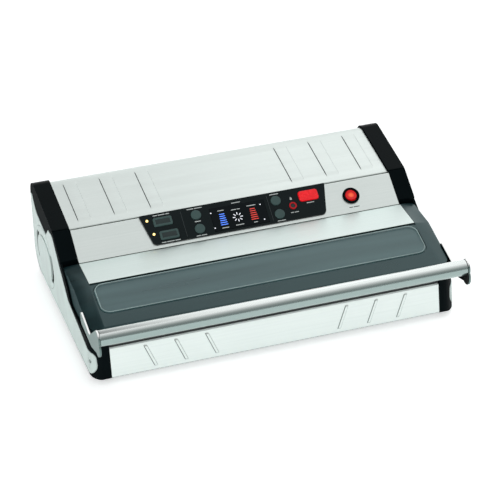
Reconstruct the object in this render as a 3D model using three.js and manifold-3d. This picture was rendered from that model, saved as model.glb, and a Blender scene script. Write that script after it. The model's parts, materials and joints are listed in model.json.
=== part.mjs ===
// Counter-top vacuum sealer with a hinged lid: every piece is a closed solid of its own.
// Millimetres. X runs to the right, Y to the back, Z up. The control panel and the handle face -Y.
import * as THREE from "three";
import { mergeVertices } from "three/addons/utils/BufferGeometryUtils.js";
import Module from "manifold-3d";

const wasm = await Module();
wasm.setup();

// ---------------------------------------------------------------- driving dimensions
const GAP = 0.3; // between pieces that touch
const SHEET = 1.2; // steel sheet
const WALL = 2.6; // moulded shells
const FOOT = 7; // height of the rubber feet

// half widths, measured from the middle of the machine
const STEEL_HALF = 214.7;
const TRIM_INNER = 215.3;
const TRIM_OUTER = 238;
const LID_HALF = 235;
const SIDE_FACE = 238.6;

// side view, as [y, z]
const FRONT_LOW = [0, 0];
const FRONT_TOP = [5.6, 41.4];
const REAR_Y = 302;
const DECK_Z = 50;
const LID_FRONT = [13.5, 64.4];
const LID_BEND = [90, 83.5];
const SEAM = [183.9, 110.8];
const COVER_SLOPE = THREE.MathUtils.degToRad(9);
const CONSOLE_SLOPE = THREE.MathUtils.degToRad(34);
const CONSOLE_LENGTH = 47.8;
const CONSOLE_WALL_Y = 145.3;
const CORNER_RADIUS = 20; // front corners of the housing, seen from above
const CREST_RADIUS = 20; // top rear edge of the housing
const HEEL_RADIUS = 30; // bottom rear edge of the housing

// lid hinge and handle
const HINGE = [139.5, 78.2];
const HINGE_RADIUS = 3.6;
const PIN_RADIUS = 1.85;
const BAR = [-30, 81.6];
const BAR_RADIUS = 10;
const BAR_HALF = 234.9;
const LOBE = [BAR[0] - 0.2, BAR[1] - 11.2]; // the rounded end of each arm hangs below the bar
const LOBE_RADIUS = 12.4;

// vacuum channel, gaskets and seal bar, as [half width, y from, y to]
const CHANNEL = { half: 188, from: 62, to: 112, floor: 22 };
const GASKET = { half: 204, from: 48, to: 126, width: 8, low: 47.8, top: 52.4 };
const SEAL_Y = 30;
const SEAL_HALF = 210;

// oval vent cover in each side panel, as its middle and its two half axes
const VENT = { y: 236, z: 45, length: 49, height: 38.5 };

const LID_SLOPE = Math.atan2(LID_BEND[1] - LID_FRONT[1], LID_BEND[0] - LID_FRONT[0]);
const FRONT_LEAN = Math.atan2(FRONT_TOP[1] - FRONT_LOW[1], FRONT_TOP[0] - FRONT_LOW[0]);
const CONSOLE_FOOT = [
  SEAM[0] - CONSOLE_LENGTH * Math.cos(CONSOLE_SLOPE),
  SEAM[1] - CONSOLE_LENGTH * Math.sin(CONSOLE_SLOPE),
];
const coverZ = (y) => SEAM[1] + (y - SEAM[0]) * Math.tan(COVER_SLOPE);
const consoleZ = (y) => CONSOLE_FOOT[1] + (y - CONSOLE_FOOT[0]) * Math.tan(CONSOLE_SLOPE);
const lidZ = (y) => LID_FRONT[1] + (y - LID_FRONT[0]) * Math.tan(LID_SLOPE);

// ---------------------------------------------------------------- outlines
// An outline is a list of corners [u, v, radius]; the radius may be left out.

const cross = (a, b) => a.x * b.y - a.y * b.x;
const corner = (c) => new THREE.Vector2(c[0], c[1]);

// The points of one corner, with its radius as an arc of short chords.
function cornerPoints(before, at, after, radius, step) {
  const back = before.clone().sub(at).normalize();
  const ahead = after.clone().sub(at).normalize();
  const turn = Math.PI - Math.acos(THREE.MathUtils.clamp(back.dot(ahead), -1, 1));
  if (!radius || turn < 0.01) return [at.clone()];
  const reach = radius * Math.tan(turn / 2);
  const start = at.clone().addScaledVector(back, reach);
  const middle = back.clone().add(ahead).normalize();
  const centre = at.clone().addScaledVector(middle, radius / Math.cos(turn / 2));
  const side = cross(back, ahead) > 0 ? -1 : 1;
  const count = Math.max(2, Math.ceil(THREE.MathUtils.radToDeg(turn) / step));
  const points = [];
  for (let i = 0; i <= count; i++) {
    points.push(start.clone().rotateAround(centre, (side * turn * i) / count));
  }
  return points;
}

function rounded(corners, step = 15) {
  const n = corners.length;
  const points = corners.flatMap((c, i) =>
    cornerPoints(corner(corners[(i + n - 1) % n]), corner(c), corner(corners[(i + 1) % n]), c[2], step),
  );
  return points;
}

// The same outline moved inwards by a distance; the corners run counter-clockwise.
function inset(corners, distance) {
  const n = corners.length;
  const edges = corners.map((c, i) => {
    const from = corner(c);
    const along = corner(corners[(i + 1) % n]).sub(from).normalize();
    const inward = new THREE.Vector2(-along.y, along.x);
    return { from: from.addScaledVector(inward, distance), along };
  });
  return corners.map((c, i) => {
    const a = edges[(i + n - 1) % n];
    const b = edges[i];
    const bend = cross(a.along, b.along);
    const t = cross(b.from.clone().sub(a.from), b.along) / bend;
    const at = a.from.clone().addScaledVector(a.along, t);
    const radius = Math.max(0, (c[2] ?? 0) - Math.sign(bend) * distance);
    return [at.x, at.y, radius];
  });
}

// The closed outline of a bent sheet whose outer face follows an open path; the metal is on its left.
function sheet(path, thickness = SHEET, step = 12) {
  const edges = path.slice(1).map((c, i) => {
    const from = corner(path[i]);
    const along = corner(c).sub(from).normalize();
    return { from, along, left: new THREE.Vector2(-along.y, along.x) };
  });
  const inner = path.map((c, i) => {
    const a = edges[Math.max(0, i - 1)];
    const b = edges[Math.min(edges.length - 1, i)];
    if (a === b) return [c[0] + a.left.x * thickness, c[1] + a.left.y * thickness, 0];
    const bend = cross(a.along, b.along);
    const share = thickness / (1 + a.left.dot(b.left));
    const at = corner(c).addScaledVector(a.left.clone().add(b.left), share);
    return [at.x, at.y, Math.max(0, (c[2] ?? 0) - Math.sign(bend) * thickness)];
  });
  return rounded([...path, ...inner.reverse()], step);
}

const rectangle = (u0, v0, u1, v1, radius = 0) => [
  [u0, v0, radius],
  [u1, v0, radius],
  [u1, v1, radius],
  [u0, v1, radius],
];
// The same rectangle, smaller by a width on every side.
const narrower = (width, u0, v0, u1, v1, radius) =>
  rectangle(u0 + width, v0 + width, u1 - width, v1 - width, radius);

// ---------------------------------------------------------------- solids
const AXES = {
  x: [new THREE.Vector3(0, 1, 0), new THREE.Vector3(0, 0, 1), new THREE.Vector3(1, 0, 0)],
  y: [new THREE.Vector3(1, 0, 0), new THREE.Vector3(0, 0, 1), new THREE.Vector3(0, -1, 0)],
  z: [new THREE.Vector3(1, 0, 0), new THREE.Vector3(0, 1, 0), new THREE.Vector3(0, 0, 1)],
};

// A prism with its outline across one axis. Outlines are (y, z) along x, (x, z) along y, (x, y) along z.
function prism(axis, outline, from, to) {
  const geometry = new THREE.ExtrudeGeometry(new THREE.Shape(outline), {
    depth: to - from,
    bevelEnabled: false,
  });
  geometry.translate(0, 0, axis === "y" ? -to : from);
  return geometry.applyMatrix4(new THREE.Matrix4().makeBasis(...AXES[axis]));
}

function box(x0, x1, y0, y1, z0, z1) {
  const geometry = new THREE.BoxGeometry(x1 - x0, y1 - y0, z1 - z0);
  return geometry.translate((x0 + x1) / 2, (y0 + y1) / 2, (z0 + z1) / 2);
}

// A round bar along an axis; u and v are its middle in the outline's two directions.
function rod(axis, radius, u, v, from, to, sides = 20) {
  const circle = new THREE.EllipseCurve(u, v, radius, radius).getPoints(sides).slice(0, sides);
  return prism(axis, circle, from, to);
}

// The outline of the vent cover made smaller by a margin, moved along Y by a shift.
function ventOval(margin, from, to, shift = 0) {
  const curve = new THREE.EllipseCurve(VENT.y + shift, VENT.z, VENT.length - margin, VENT.height - margin);
  return prism("x", curve.getPoints(48).slice(0, 48), from, to);
}

function ring(axis, outer, inner, u, v, from, to, sides = 28) {
  return cut(rod(axis, outer, u, v, from, to, sides), rod(axis, inner, u, v, from - 1, to + 1, sides));
}

function toSolid(geometry) {
  const bare = geometry.clone();
  bare.deleteAttribute("normal");
  bare.deleteAttribute("uv");
  const merged = mergeVertices(bare, 1e-4);
  return new wasm.Manifold(
    new wasm.Mesh({
      numProp: 3,
      vertProperties: new Float32Array(merged.attributes.position.array),
      triVerts: new Uint32Array(merged.index.array),
    }),
  );
}

function toGeometry(solid) {
  const mesh = solid.getMesh();
  const geometry = new THREE.BufferGeometry();
  geometry.setAttribute("position", new THREE.BufferAttribute(mesh.vertProperties, 3));
  geometry.setIndex(new THREE.BufferAttribute(mesh.triVerts, 1));
  return geometry;
}

const combine = (how) => (first, ...others) =>
  toGeometry(others.reduce((sum, next) => sum[how](toSolid(next)), toSolid(first)));
const join = combine("add");
const cut = combine("subtract");
const overlap = combine("intersect");

// The mirror image across the middle of the machine, with its faces turned the right way out again.
function mirrored(geometry) {
  const copy = toGeometry(toSolid(geometry));
  copy.scale(-1, 1, 1);
  const index = copy.index.array;
  for (let i = 0; i < index.length; i += 3) {
    [index[i + 1], index[i + 2]] = [index[i + 2], index[i + 1]];
  }
  return copy;
}

// Moves a geometry from a sloping plane's own frame (x, up the slope, out of it) to the machine's.
function onSlope(geometry, origin, slope) {
  return geometry.clone().rotateX(slope).translate(0, origin[0], origin[1]);
}

// ---------------------------------------------------------------- materials
const finish = (color, roughness, metalness = 0, extra = {}) =>
  new THREE.MeshStandardMaterial({ color, roughness, metalness, flatShading: true, ...extra });

const MATERIAL = {
  steel: finish(0xd5dbd9, 0.35, 1),
  brightSteel: finish(0xeef0ef, 0.3, 1),
  tube: finish(0xc9d2ce, 0.22, 1),
  armSteel: finish(0x8a9a97, 0.4, 1),
  sidePlastic: finish(0xc3d2cd, 0.45),
  gloss: finish(0x08090b, 0.18),
  lid: finish(0x353f45, 0.4),
  smoked: finish(0x4c5a5c, 0.1, 0, { transparent: true, opacity: 0.6 }),
  deck: finish(0x1c1f21, 0.5),
  rubber: finish(0x141414, 0.9),
  foam: finish(0x202223, 0.95),
  silicone: finish(0x7d2b24, 0.7),
  aluminium: finish(0xb9bec0, 0.4, 1),
  tape: finish(0x8a6a45, 0.7),
  keyGrey: finish(0x5b6468, 0.5),
  keyRed: finish(0xd2202b, 0.4),
  glass: finish(0x0b0d12, 0.08),
  board: finish(0x1f5f3a, 0.6),
  copper: finish(0xa9683a, 0.5, 1),
  motor: finish(0x9aa0a3, 0.4, 1),
  nylon: finish(0xd8d6cc, 0.6),
  lampRed: finish(0xff2a18, 0.2, 0, { emissive: 0xff3a20, emissiveIntensity: 0.8 }),
  lampYellow: finish(0xffc928, 0.3, 0, { emissive: 0xffb000, emissiveIntensity: 0.6 }),
};

// ---------------------------------------------------------------- scene
const machine = new THREE.Group();
const controls = new THREE.Group();
controls.position.set(0, CONSOLE_FOOT[0], CONSOLE_FOOT[1]);
controls.rotation.x = CONSOLE_SLOPE;
machine.add(controls);

function addPiece(name, geometry, material, parent = machine) {
  const mesh = new THREE.Mesh(geometry, material);
  mesh.name = name;
  parent.add(mesh);
  return mesh;
}

function addPair(name, rightGeometry, material) {
  addPiece(`right_${name}`, rightGeometry, material);
  addPiece(`left_${name}`, mirrored(rightGeometry), material);
}

// ---------------------------------------------------------------- housing
// A block as deep as the machine whose two front corners are round, leaning back with the front panel.
function roundedFront(half, radius, proud) {
  const depth = 345;
  const plan = rounded(
    [
      [half, -depth],
      [half, proud, radius],
      [-half, proud, radius],
      [-half, -depth],
    ],
    10,
  );
  const block = new THREE.ExtrudeGeometry(new THREE.Shape(plan), { depth: 260, bevelEnabled: false });
  block.applyMatrix4(
    new THREE.Matrix4().makeBasis(
      new THREE.Vector3(1, 0, 0),
      new THREE.Vector3(0, -Math.sin(FRONT_LEAN), Math.cos(FRONT_LEAN)),
      new THREE.Vector3(0, -Math.cos(FRONT_LEAN), -Math.sin(FRONT_LEAN)),
    ),
  );
  const rise = 220;
  return block.translate(0, rise * Math.cos(FRONT_LEAN), rise * Math.sin(FRONT_LEAN));
}

// Side view of the housing behind and below the lid, standing proud of the steel by a little.
function housingCorners(proud) {
  const lean = proud / Math.sin(FRONT_LEAN);
  const backY = REAR_Y + proud;
  return [
    [FRONT_LOW[0] - lean, FRONT_LOW[1], 3],
    [backY, 0, HEEL_RADIUS],
    [backY, coverZ(backY) + proud, CREST_RADIUS],
    [SEAM[0], SEAM[1] + proud, 12],
    [147.4, consoleZ(147.4) + proud, 1],
    [147.4, DECK_Z, 1],
    [FRONT_LOW[0] - lean + DECK_Z / Math.tan(FRONT_LEAN), DECK_Z, 2],
  ];
}

// Side view of the pale side panel: straight sole, round heel, and a scooped top edge behind the lid.
function sidePanelCorners(grow) {
  const corners = [
    [4, 3, 14],
    [250, 0.6, 90],
    [299, 6, 30],
    [299.5, 113, 4],
    [276, 91, 20],
    [222, 85, 8],
    [207, 101, 6],
    [186, 104, 12],
    [152, 76, 30],
    [116, 50, 26],
    [60, 42, 60],
    [9, 33, 7],
  ];
  return inset(corners, -grow);
}

// Thin wall of the trim that runs down beside the back of the lid.
function trimCheek() {
  const outline = [
    [98, DECK_Z - 3],
    [150, DECK_Z - 3],
    [150, consoleZ(147.4)],
    [146, consoleZ(147.4) - 3],
    [118, 68],
  ];
  return prism("x", rounded(outline), LID_HALF + 0.4, TRIM_OUTER);
}

function sideTrim() {
  const corners = housingCorners(0.8);
  const shell = cut(
    overlap(
      prism("x", rounded(corners, 9), TRIM_INNER, TRIM_OUTER),
      roundedFront(TRIM_OUTER, CORNER_RADIUS, 0.8),
    ),
    overlap(
      prism("x", rounded(inset(corners, WALL), 22.5), TRIM_INNER - 1, TRIM_OUTER - WALL - 2.8),
      roundedFront(TRIM_OUTER - WALL - 2.8, CORNER_RADIUS - WALL, 0.8 - WALL),
    ),
  );
  const pocket = cut(
    prism("x", rounded(sidePanelCorners(0.4)), 205, 250),
    roundedFront(TRIM_OUTER - 2.8, CORNER_RADIUS - 2.8, -2),
  );
  const seamSlope = (COVER_SLOPE + CONSOLE_SLOPE) / 2;
  const seam = onSlope(box(TRIM_INNER - 1, TRIM_OUTER + 1, -0.6, 0.6, -0.6, 4), SEAM, seamSlope);
  const airway = ventOval(6, 230, 250);
  return cut(join(shell, trimCheek()), pocket, seam, airway);
}

function sidePanel() {
  const panel = overlap(
    prism("x", rounded(sidePanelCorners(0)), 205, 250),
    roundedFront(SIDE_FACE, CORNER_RADIUS + 0.6, 1.4),
  );
  return cut(
    panel,
    roundedFront(TRIM_OUTER - 2.5, CORNER_RADIUS - 2.5, -1.7),
    ventOval(-0.4, 230, 250),
    rod("x", 2.6, 16, 21, 230, 250, 12),
  );
}

// Thin oval cover on a block behind its middle, with a crescent air slot at its front and back ends.
function ventCover() {
  const face = SIDE_FACE - 1.2;
  const disc = join(
    ventOval(0, face, SIDE_FACE),
    ventOval(12, SIDE_FACE - 0.5, SIDE_FACE + 0.9),
    ventOval(20, TRIM_OUTER - 2.5, face + 0.5),
  );
  const slotHeight = box(face - 1, SIDE_FACE + 1, VENT.y - 60, VENT.y + 60, VENT.z - 19, VENT.z + 21);
  const crescents = [-10, 10].map((shift) =>
    overlap(
      cut(ventOval(2.5, face - 1, SIDE_FACE + 1), ventOval(2.5, face - 2, SIDE_FACE + 2, shift)),
      slotHeight,
    ),
  );
  return cut(disc, ...crescents);
}

addPair("trim", sideTrim(), MATERIAL.gloss);
addPair("side_panel", sidePanel(), MATERIAL.sidePlastic);
addPair("vent_cover", ventCover(), MATERIAL.sidePlastic);

// Front panel: a bent sheet with six narrow slanted beads pressed outwards.
function frontPanel() {
  const path = [
    [18, FRONT_TOP[1]],
    [FRONT_TOP[0], FRONT_TOP[1], 2.4],
    [FRONT_LOW[0], FRONT_LOW[1], 2.4],
    [7.4, 0],
  ];
  const panel = prism("x", sheet(path), -STEEL_HALF, STEEL_HALF);
  const beads = [-1, 1].flatMap((side) =>
    [91.5, 131, 170].map((top) => {
      const bead = prism("z", rounded(rectangle(-1.9, 7, 1.9, 36, 1.9), 45), -SHEET / 2, 0.7);
      bead.applyMatrix4(new THREE.Matrix4().makeShear(0, 0, side * 0.4, 0, 0, 0));
      bead.translate(side * (top - 14.5), 0, 0);
      return onSlope(bead, FRONT_LOW, FRONT_LEAN);
    }),
  );
  return join(panel, ...beads);
}
addPiece("front_panel", frontPanel(), MATERIAL.steel);

// Top cover: a bent sheet over the back of the machine, with two groups of three raised pads.
function topCover() {
  const seamFlange = 9;
  const start = [SEAM[0] + 0.9, coverZ(SEAM[0] + 0.9)];
  const path = [
    [REAR_Y, 104],
    [REAR_Y, coverZ(REAR_Y), CREST_RADIUS],
    [start[0], start[1], 1.6],
    [start[0] + 1.5, start[1] - seamFlange],
  ];
  const cover = prism("x", sheet(path, SHEET, 6), -STEEL_HALF, STEEL_HALF);
  const pads = [-1, 1].flatMap((side) =>
    [95.5, 143.5, 191.5].map((x) => {
      const pad = prism("z", rounded(rectangle(-8.5, 15, 8.5, 97, 1.5), 45), -SHEET / 2, 0.8);
      return onSlope(pad.translate(side * x, 0, 0), SEAM, COVER_SLOPE);
    }),
  );
  return join(cover, ...pads);
}
addPiece("top_cover", topCover(), MATERIAL.steel);

// ---------------------------------------------------------------- control console
// Everything on the sloping console is placed in its own frame: x, s up the slope, and height off it.
const KEYPAD_TOP = 2;
const KEYPAD_CORNERS = [
  [-115.5, 3.2, 6],
  [115.5, 3.2, 6],
  [125.2, 46.6, 1.5],
  [-125.2, 46.6, 1.5],
];
const DISPLAY = { x: 2.8, s: 22.3, width: 73, height: 32.4 };
const PORT = { x: 75.3, s: 22.4, radius: 5, bore: 3.2 };
const POWER = { x: 155.2, s: 22.2, bezel: 11.2, hole: 9.5, cap: 7.4 };
const ROUND_KEY = 6.7;
const KEYS = [
  { name: "mode_button", x: -96.6, s: 33.8, width: 25, height: 12.6, radius: 2.5 },
  { name: "start_button", x: -92.8, s: 14.2, width: 25, height: 12.6, radius: 2.5 },
  { name: "pulse_button", x: -52.3, s: 34.2, round: true },
  { name: "seal_button", x: -52.3, s: 14.2, round: true },
  { name: "food_button", x: 55, s: 33.8, round: true },
  { name: "marinate_button", x: 55, s: 14.2, round: true },
  { name: "cancel_button", x: 99.2, s: 33.2, width: 26, height: 14.5, radius: 3.5, red: true },
];
const LAMPS = [
  { name: "mode_lamp", x: -116.3, s: 38.1 },
  { name: "start_lamp", x: -112.1, s: 18.2 },
];

// The outline of a key around its own middle, made larger or smaller by a margin.
function keyOutline(key, margin) {
  if (key.round) {
    const radius = ROUND_KEY + margin;
    return new THREE.EllipseCurve(0, 0, radius, radius).getPoints(20).slice(0, 20);
  }
  const u = key.width / 2 + margin;
  const v = key.height / 2 + margin;
  return rounded(rectangle(-u, -v, u, v, key.radius + margin), 22.5);
}

function fascia() {
  const path = [
    [SEAM[0] + 0.1, SEAM[1] - 8.5],
    [SEAM[0] - 0.7, consoleZ(SEAM[0] - 0.7), 1.6],
    [CONSOLE_WALL_Y, consoleZ(CONSOLE_WALL_Y), 0.8],
    [CONSOLE_WALL_Y, DECK_Z + 1],
  ];
  // a lip at the foot of the slope reaches over the rolled edge of the lid's strip
  const tip = CONSOLE_WALL_Y - 2.3;
  const lip = rounded([
    [tip, consoleZ(tip)],
    [tip + 0.35, consoleZ(tip) - 0.5],
    [CONSOLE_WALL_Y + 0.3, consoleZ(tip) - 2],
    [CONSOLE_WALL_Y + 0.9, consoleZ(tip) - 2],
    [CONSOLE_WALL_Y + 0.9, consoleZ(CONSOLE_WALL_Y)],
    [CONSOLE_WALL_Y + 0.3, consoleZ(CONSOLE_WALL_Y + 0.3)],
  ]);
  const panel = join(
    prism("x", sheet(path), -STEEL_HALF, STEEL_HALF),
    prism("x", lip, -STEEL_HALF, STEEL_HALF),
  );
  const keypadHole = prism("z", rounded(inset(KEYPAD_CORNERS, 3.5), 30), -6, 6);
  const switchHole = rod("z", POWER.hole + 0.3, POWER.x, POWER.s, -6, 6, 32);
  return cut(
    panel,
    onSlope(keypadHole, CONSOLE_FOOT, CONSOLE_SLOPE),
    onSlope(switchHole, CONSOLE_FOOT, CONSOLE_SLOPE),
  );
}
addPiece("control_fascia", fascia(), MATERIAL.steel);

function keypad() {
  const plate = prism("z", rounded(KEYPAD_CORNERS, 15), GAP, KEYPAD_TOP);
  const holes = KEYS.map((key) => prism("z", keyOutline(key, 0.45), -1, 5).translate(key.x, key.s, 0));
  const lampHoles = LAMPS.map((lamp) => rod("z", 1.9, lamp.x, lamp.s, -1, 5, 12));
  const u = DISPLAY.width / 2;
  const v = DISPLAY.height / 2;
  const aroundDisplay = (margin, z0) =>
    box(
      DISPLAY.x - u - margin,
      DISPLAY.x + u + margin,
      DISPLAY.s - v - margin,
      DISPLAY.s + v + margin,
      z0,
      5,
    );
  const displayHole = aroundDisplay(-4, -1);
  const displayRecess = aroundDisplay(GAP, 1);
  const portHole = rod("z", PORT.radius + GAP, PORT.x, PORT.s, -1, 5, 24);
  return cut(plate, ...holes, ...lampHoles, displayHole, displayRecess, portHole);
}
addPiece("keypad_panel", keypad(), MATERIAL.gloss, controls);

function displayWindow() {
  const u = DISPLAY.width / 2;
  const v = DISPLAY.height / 2;
  return prism("z", rounded(rectangle(-u, -v, u, v, 1), 45), 1 + GAP, KEYPAD_TOP + 0.3)
    .translate(DISPLAY.x, DISPLAY.s, 0);
}
addPiece("display_window", displayWindow(), MATERIAL.glass, controls);

// A key: a cap through the keypad, a retaining flange behind it and a stem over its contact.
const KEY_TRAVEL = 1.2;
const STEM_END = -4;
function keyCap(key) {
  return join(
    prism("z", keyOutline(key, 0), -1.4, KEYPAD_TOP + 1.3),
    prism("z", keyOutline(key, 1.3), -2.2, -1.2),
    rod("z", 3, 0, 0, STEM_END, -1.4, 8),
  );
}
for (const key of KEYS) {
  const material = key.red ? MATERIAL.keyRed : MATERIAL.keyGrey;
  addPiece(key.name, keyCap(key), material, controls).position.set(key.x, key.s, 0);
}

for (const lamp of LAMPS) {
  const lens = rod("z", 1.6, 0, 0, -3, KEYPAD_TOP + 0.5, 12);
  addPiece(lamp.name, lens, MATERIAL.lampYellow, controls).position.set(lamp.x, lamp.s, 0);
}

// Circuit board behind the keypad, with a contact under each key and the display module.
const BOARD_TOP = -8;
function displayBoard() {
  const board = box(-118, 118, 9, 42, BOARD_TOP - 1.6, BOARD_TOP);
  const contacts = KEYS.map((key) =>
    rod("z", 3, key.x, key.s, BOARD_TOP - 0.5, STEM_END - KEY_TRAVEL - GAP, 8),
  );
  const module = box(DISPLAY.x - 30, DISPLAY.x + 30, DISPLAY.s - 11, DISPLAY.s + 11, BOARD_TOP - 0.5, 0);
  return cut(join(board, ...contacts, module), rod("z", PORT.radius + 1, PORT.x, PORT.s, -12, 0, 20));
}
addPiece("display_board", displayBoard(), MATERIAL.board, controls);

// Vacuum port for canisters: a collar around an open bore that ends in a hose nipple.
function accessoryPort() {
  const { x, s, radius, bore } = PORT;
  const body = join(
    rod("z", radius, x, s, -7, KEYPAD_TOP + 1, 24),
    rod("z", 4.3, x, s, -17, -6.5, 20),
  );
  return cut(body, rod("z", bore, x, s, -18, 8, 20));
}
addPiece("accessory_port", accessoryPort(), MATERIAL.keyRed, controls);

function switchBezel() {
  const { x, s, bezel, hole, cap } = POWER;
  const body = join(
    rod("z", bezel, x, s, GAP, 2.2, 32),
    rod("z", hole, x, s, -16, 1, 28),
  );
  const bore = rod("z", cap + 0.8, x, s, -9, 8, 28);
  const terminals = [-5, 5].map((u) => box(x + u - 0.5, x + u + 0.5, s - 3, s + 3, -24, -15));
  return join(cut(body, bore), ...terminals);
}
addPiece("switch_bezel", switchBezel(), MATERIAL.gloss, controls);

// The rocker is drawn pressed to "on": its dished face is tipped towards the top of the console.
const ROCKER_PIVOT = -2;
const ROCKER_TILT = THREE.MathUtils.degToRad(-7);
function switchRocker() {
  const cap = rod("z", POWER.cap, 0, 0, -3.4, 5, 32);
  const dish = rod("x", 26, 0, 29.6, -12, 12, 60);
  return cut(cap, dish).rotateX(ROCKER_TILT);
}
addPiece("switch_rocker", switchRocker(), MATERIAL.lampRed, controls).position.set(
  POWER.x,
  POWER.s,
  ROCKER_PIVOT,
);

// ---------------------------------------------------------------- base, back and feet
const BASE = { half: 213.6, low: 0.6, front: 8, lip: 14, rearTop: 34 };

function basePan() {
  const path = [
    [BASE.front, BASE.lip],
    [BASE.front, BASE.low, 1.6],
    [REAR_Y, BASE.low, HEEL_RADIUS - 0.6],
    [REAR_Y, BASE.rearTop],
  ];
  const pan = prism("x", sheet(path), -BASE.half, BASE.half);
  const sides = [-1, 1].map((side) => {
    const x = side * (BASE.half - SHEET / 2);
    return box(x - SHEET / 2, x + SHEET / 2, BASE.front + 1, 272, BASE.low + 0.6, BASE.lip);
  });
  const slots = [-2, -1, 0, 1, 2].map((i) => box(i * 14 - 3, i * 14 + 3, 215, 255, -2, 5));
  return cut(join(pan, ...sides), ...slots);
}
addPiece("base_pan", basePan(), MATERIAL.steel);

const INLET = { x: -165, z: 62 };
function rearPanel() {
  const sheetBack = box(-STEEL_HALF, STEEL_HALF, REAR_Y - SHEET, REAR_Y, BASE.rearTop + 0.4, 103.6);
  const vents = [];
  for (let column = 0; column < 14; column++) {
    const x = 30 + column * 11;
    vents.push(prism("y", rounded(rectangle(x - 2, 48, x + 2, 88, 2), 45), REAR_Y - 4, REAR_Y + 2));
  }
  const opening = box(INLET.x - 14.3, INLET.x + 14.3, REAR_Y - 4, REAR_Y + 2, INLET.z - 10.8, INLET.z + 10.8);
  return cut(sheetBack, ...vents, opening);
}
addPiece("rear_panel", rearPanel(), MATERIAL.steel);

// Mains inlet: a flanged shroud around three blades, let into the back.
function powerInlet() {
  const shroud = prism("y", rounded(rectangle(-14, -10.5, 14, 10.5, 3), 30), REAR_Y - 20, REAR_Y + 1);
  const flange = prism("y", rounded(rectangle(-25, -12.5, 25, 12.5, 4), 30), REAR_Y + GAP, REAR_Y + 2.4);
  const mouth = prism("y", rounded(rectangle(-12, -8.5, 12, 8.5, 3), 30), REAR_Y - 16, REAR_Y + 5);
  const blades = [[-7, -1], [7, -1], [0, 3]].map(([x, z]) =>
    box(x - 1, x + 1, REAR_Y - 17, REAR_Y - 2, z - 2, z + 2),
  );
  const holes = [-20, 20].map((x) => rod("y", 1.7, x, 0, REAR_Y - 2, REAR_Y + 4, 12));
  return join(cut(join(shroud, flange), mouth, ...holes), ...blades).translate(INLET.x, 0, INLET.z);
}
addPiece("power_inlet", powerInlet(), MATERIAL.gloss);

function foot() {
  const profile = [
    [0, 0],
    [9.6, 0],
    [10.4, 0.8],
    [11.5, 5],
    [11.5, FOOT + 0.3],
    [0, FOOT + 0.3],
  ];
  return new THREE.LatheGeometry(profile.map(([r, z]) => new THREE.Vector2(r, z)), 24).rotateX(Math.PI / 2);
}
for (const [name, x, y] of [
  ["front_left_foot", -185, 42],
  ["front_right_foot", 185, 42],
  ["rear_left_foot", -185, 250],
  ["rear_right_foot", 185, 250],
]) {
  addPiece(name, foot(), MATERIAL.rubber).position.set(x, y, -FOOT);
}

// ---------------------------------------------------------------- deck under the lid
function hollowRing(outer, width, z0, z1) {
  const { half, from, to } = outer;
  return cut(
    prism("z", rounded(rectangle(-half, from, half, to, 14), 22.5), z0, z1),
    prism("z", rounded(narrower(width, -half, from, half, to, 6), 22.5), z0 - 1, z1 + 1),
  );
}

function deck() {
  const plate = box(-STEEL_HALF, STEEL_HALF, 6.8, 144.8, 45.2, DECK_Z);
  const skirt = box(-STEEL_HALF, STEEL_HALF, 6.8, 16, FRONT_TOP[1] + 1, 46);
  const { half, from, to, floor } = CHANNEL;
  const tub = prism("z", rounded(rectangle(-half - 2, from - 2, half + 2, to + 2, 8), 22.5), floor - 2, 46);
  const tubSpace = prism("z", rounded(rectangle(-half, from, half, to, 6), 22.5), floor, DECK_Z + 2);
  const barTub = box(-213, 213, SEAL_Y - 9.5, SEAL_Y + 9.5, 34, 46);
  const barSpace = box(-211, 211, SEAL_Y - 7.5, SEAL_Y + 7.5, 36, DECK_Z + 2);
  const grown = { half: GASKET.half + GAP, from: GASKET.from - GAP, to: GASKET.to + GAP };
  const groove = hollowRing(grown, GASKET.width + 2 * GAP, GASKET.low - GAP, DECK_Z + 2);
  const suction = rod("z", 3.4, 150, 87, floor - 4, floor + 4, 16);
  return cut(join(plate, skirt, tub, barTub), tubSpace, barSpace, groove, suction);
}
addPiece("deck", deck(), MATERIAL.deck);
addPiece("lower_gasket", hollowRing(GASKET, GASKET.width, GASKET.low, GASKET.top), MATERIAL.foam);

function dripTray() {
  const half = CHANNEL.half - 0.8;
  const from = CHANNEL.from + 0.8;
  const to = CHANNEL.to - 0.8;
  const low = CHANNEL.floor + 3;
  const walls = cut(
    prism("z", rounded(rectangle(-half, from, half, to, 5), 22.5), low, DECK_Z - 4),
    prism("z", rounded(rectangle(-half + 1.6, from + 1.6, half - 1.6, to - 1.6, 4), 22.5), low + 1.6, DECK_Z),
  );
  const tab = box(-16, 16, 86.2, 87.8, low + 1, DECK_Z - 2);
  const suction = rod("z", 4, 150, 87, low - 2, low + 4, 16);
  return cut(join(walls, tab), suction);
}
addPiece("drip_tray", dripTray(), MATERIAL.deck);

const SEAL_TOP = 51.2;
function sealBar() {
  const body = box(-SEAL_HALF, SEAL_HALF, SEAL_Y - 7, SEAL_Y + 7, 36.3, SEAL_TOP);
  const grooves = [-1, 1].map((side) =>
    box(-SEAL_HALF - 1, SEAL_HALF + 1, SEAL_Y + side * 7 - 1.2, SEAL_Y + side * 7 + 1.2, 42, 45),
  );
  return cut(body, ...grooves);
}
addPiece("seal_bar", sealBar(), MATERIAL.aluminium);
addPiece(
  "heating_wire",
  box(-209, 209, SEAL_Y - 1.5, SEAL_Y + 1.5, SEAL_TOP + GAP, SEAL_TOP + 0.55),
  MATERIAL.brightSteel,
);
addPiece(
  "ptfe_tape",
  box(-210, 210, SEAL_Y - 7, SEAL_Y + 7, SEAL_TOP + 0.85, SEAL_TOP + 1.15),
  MATERIAL.tape,
);

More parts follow.
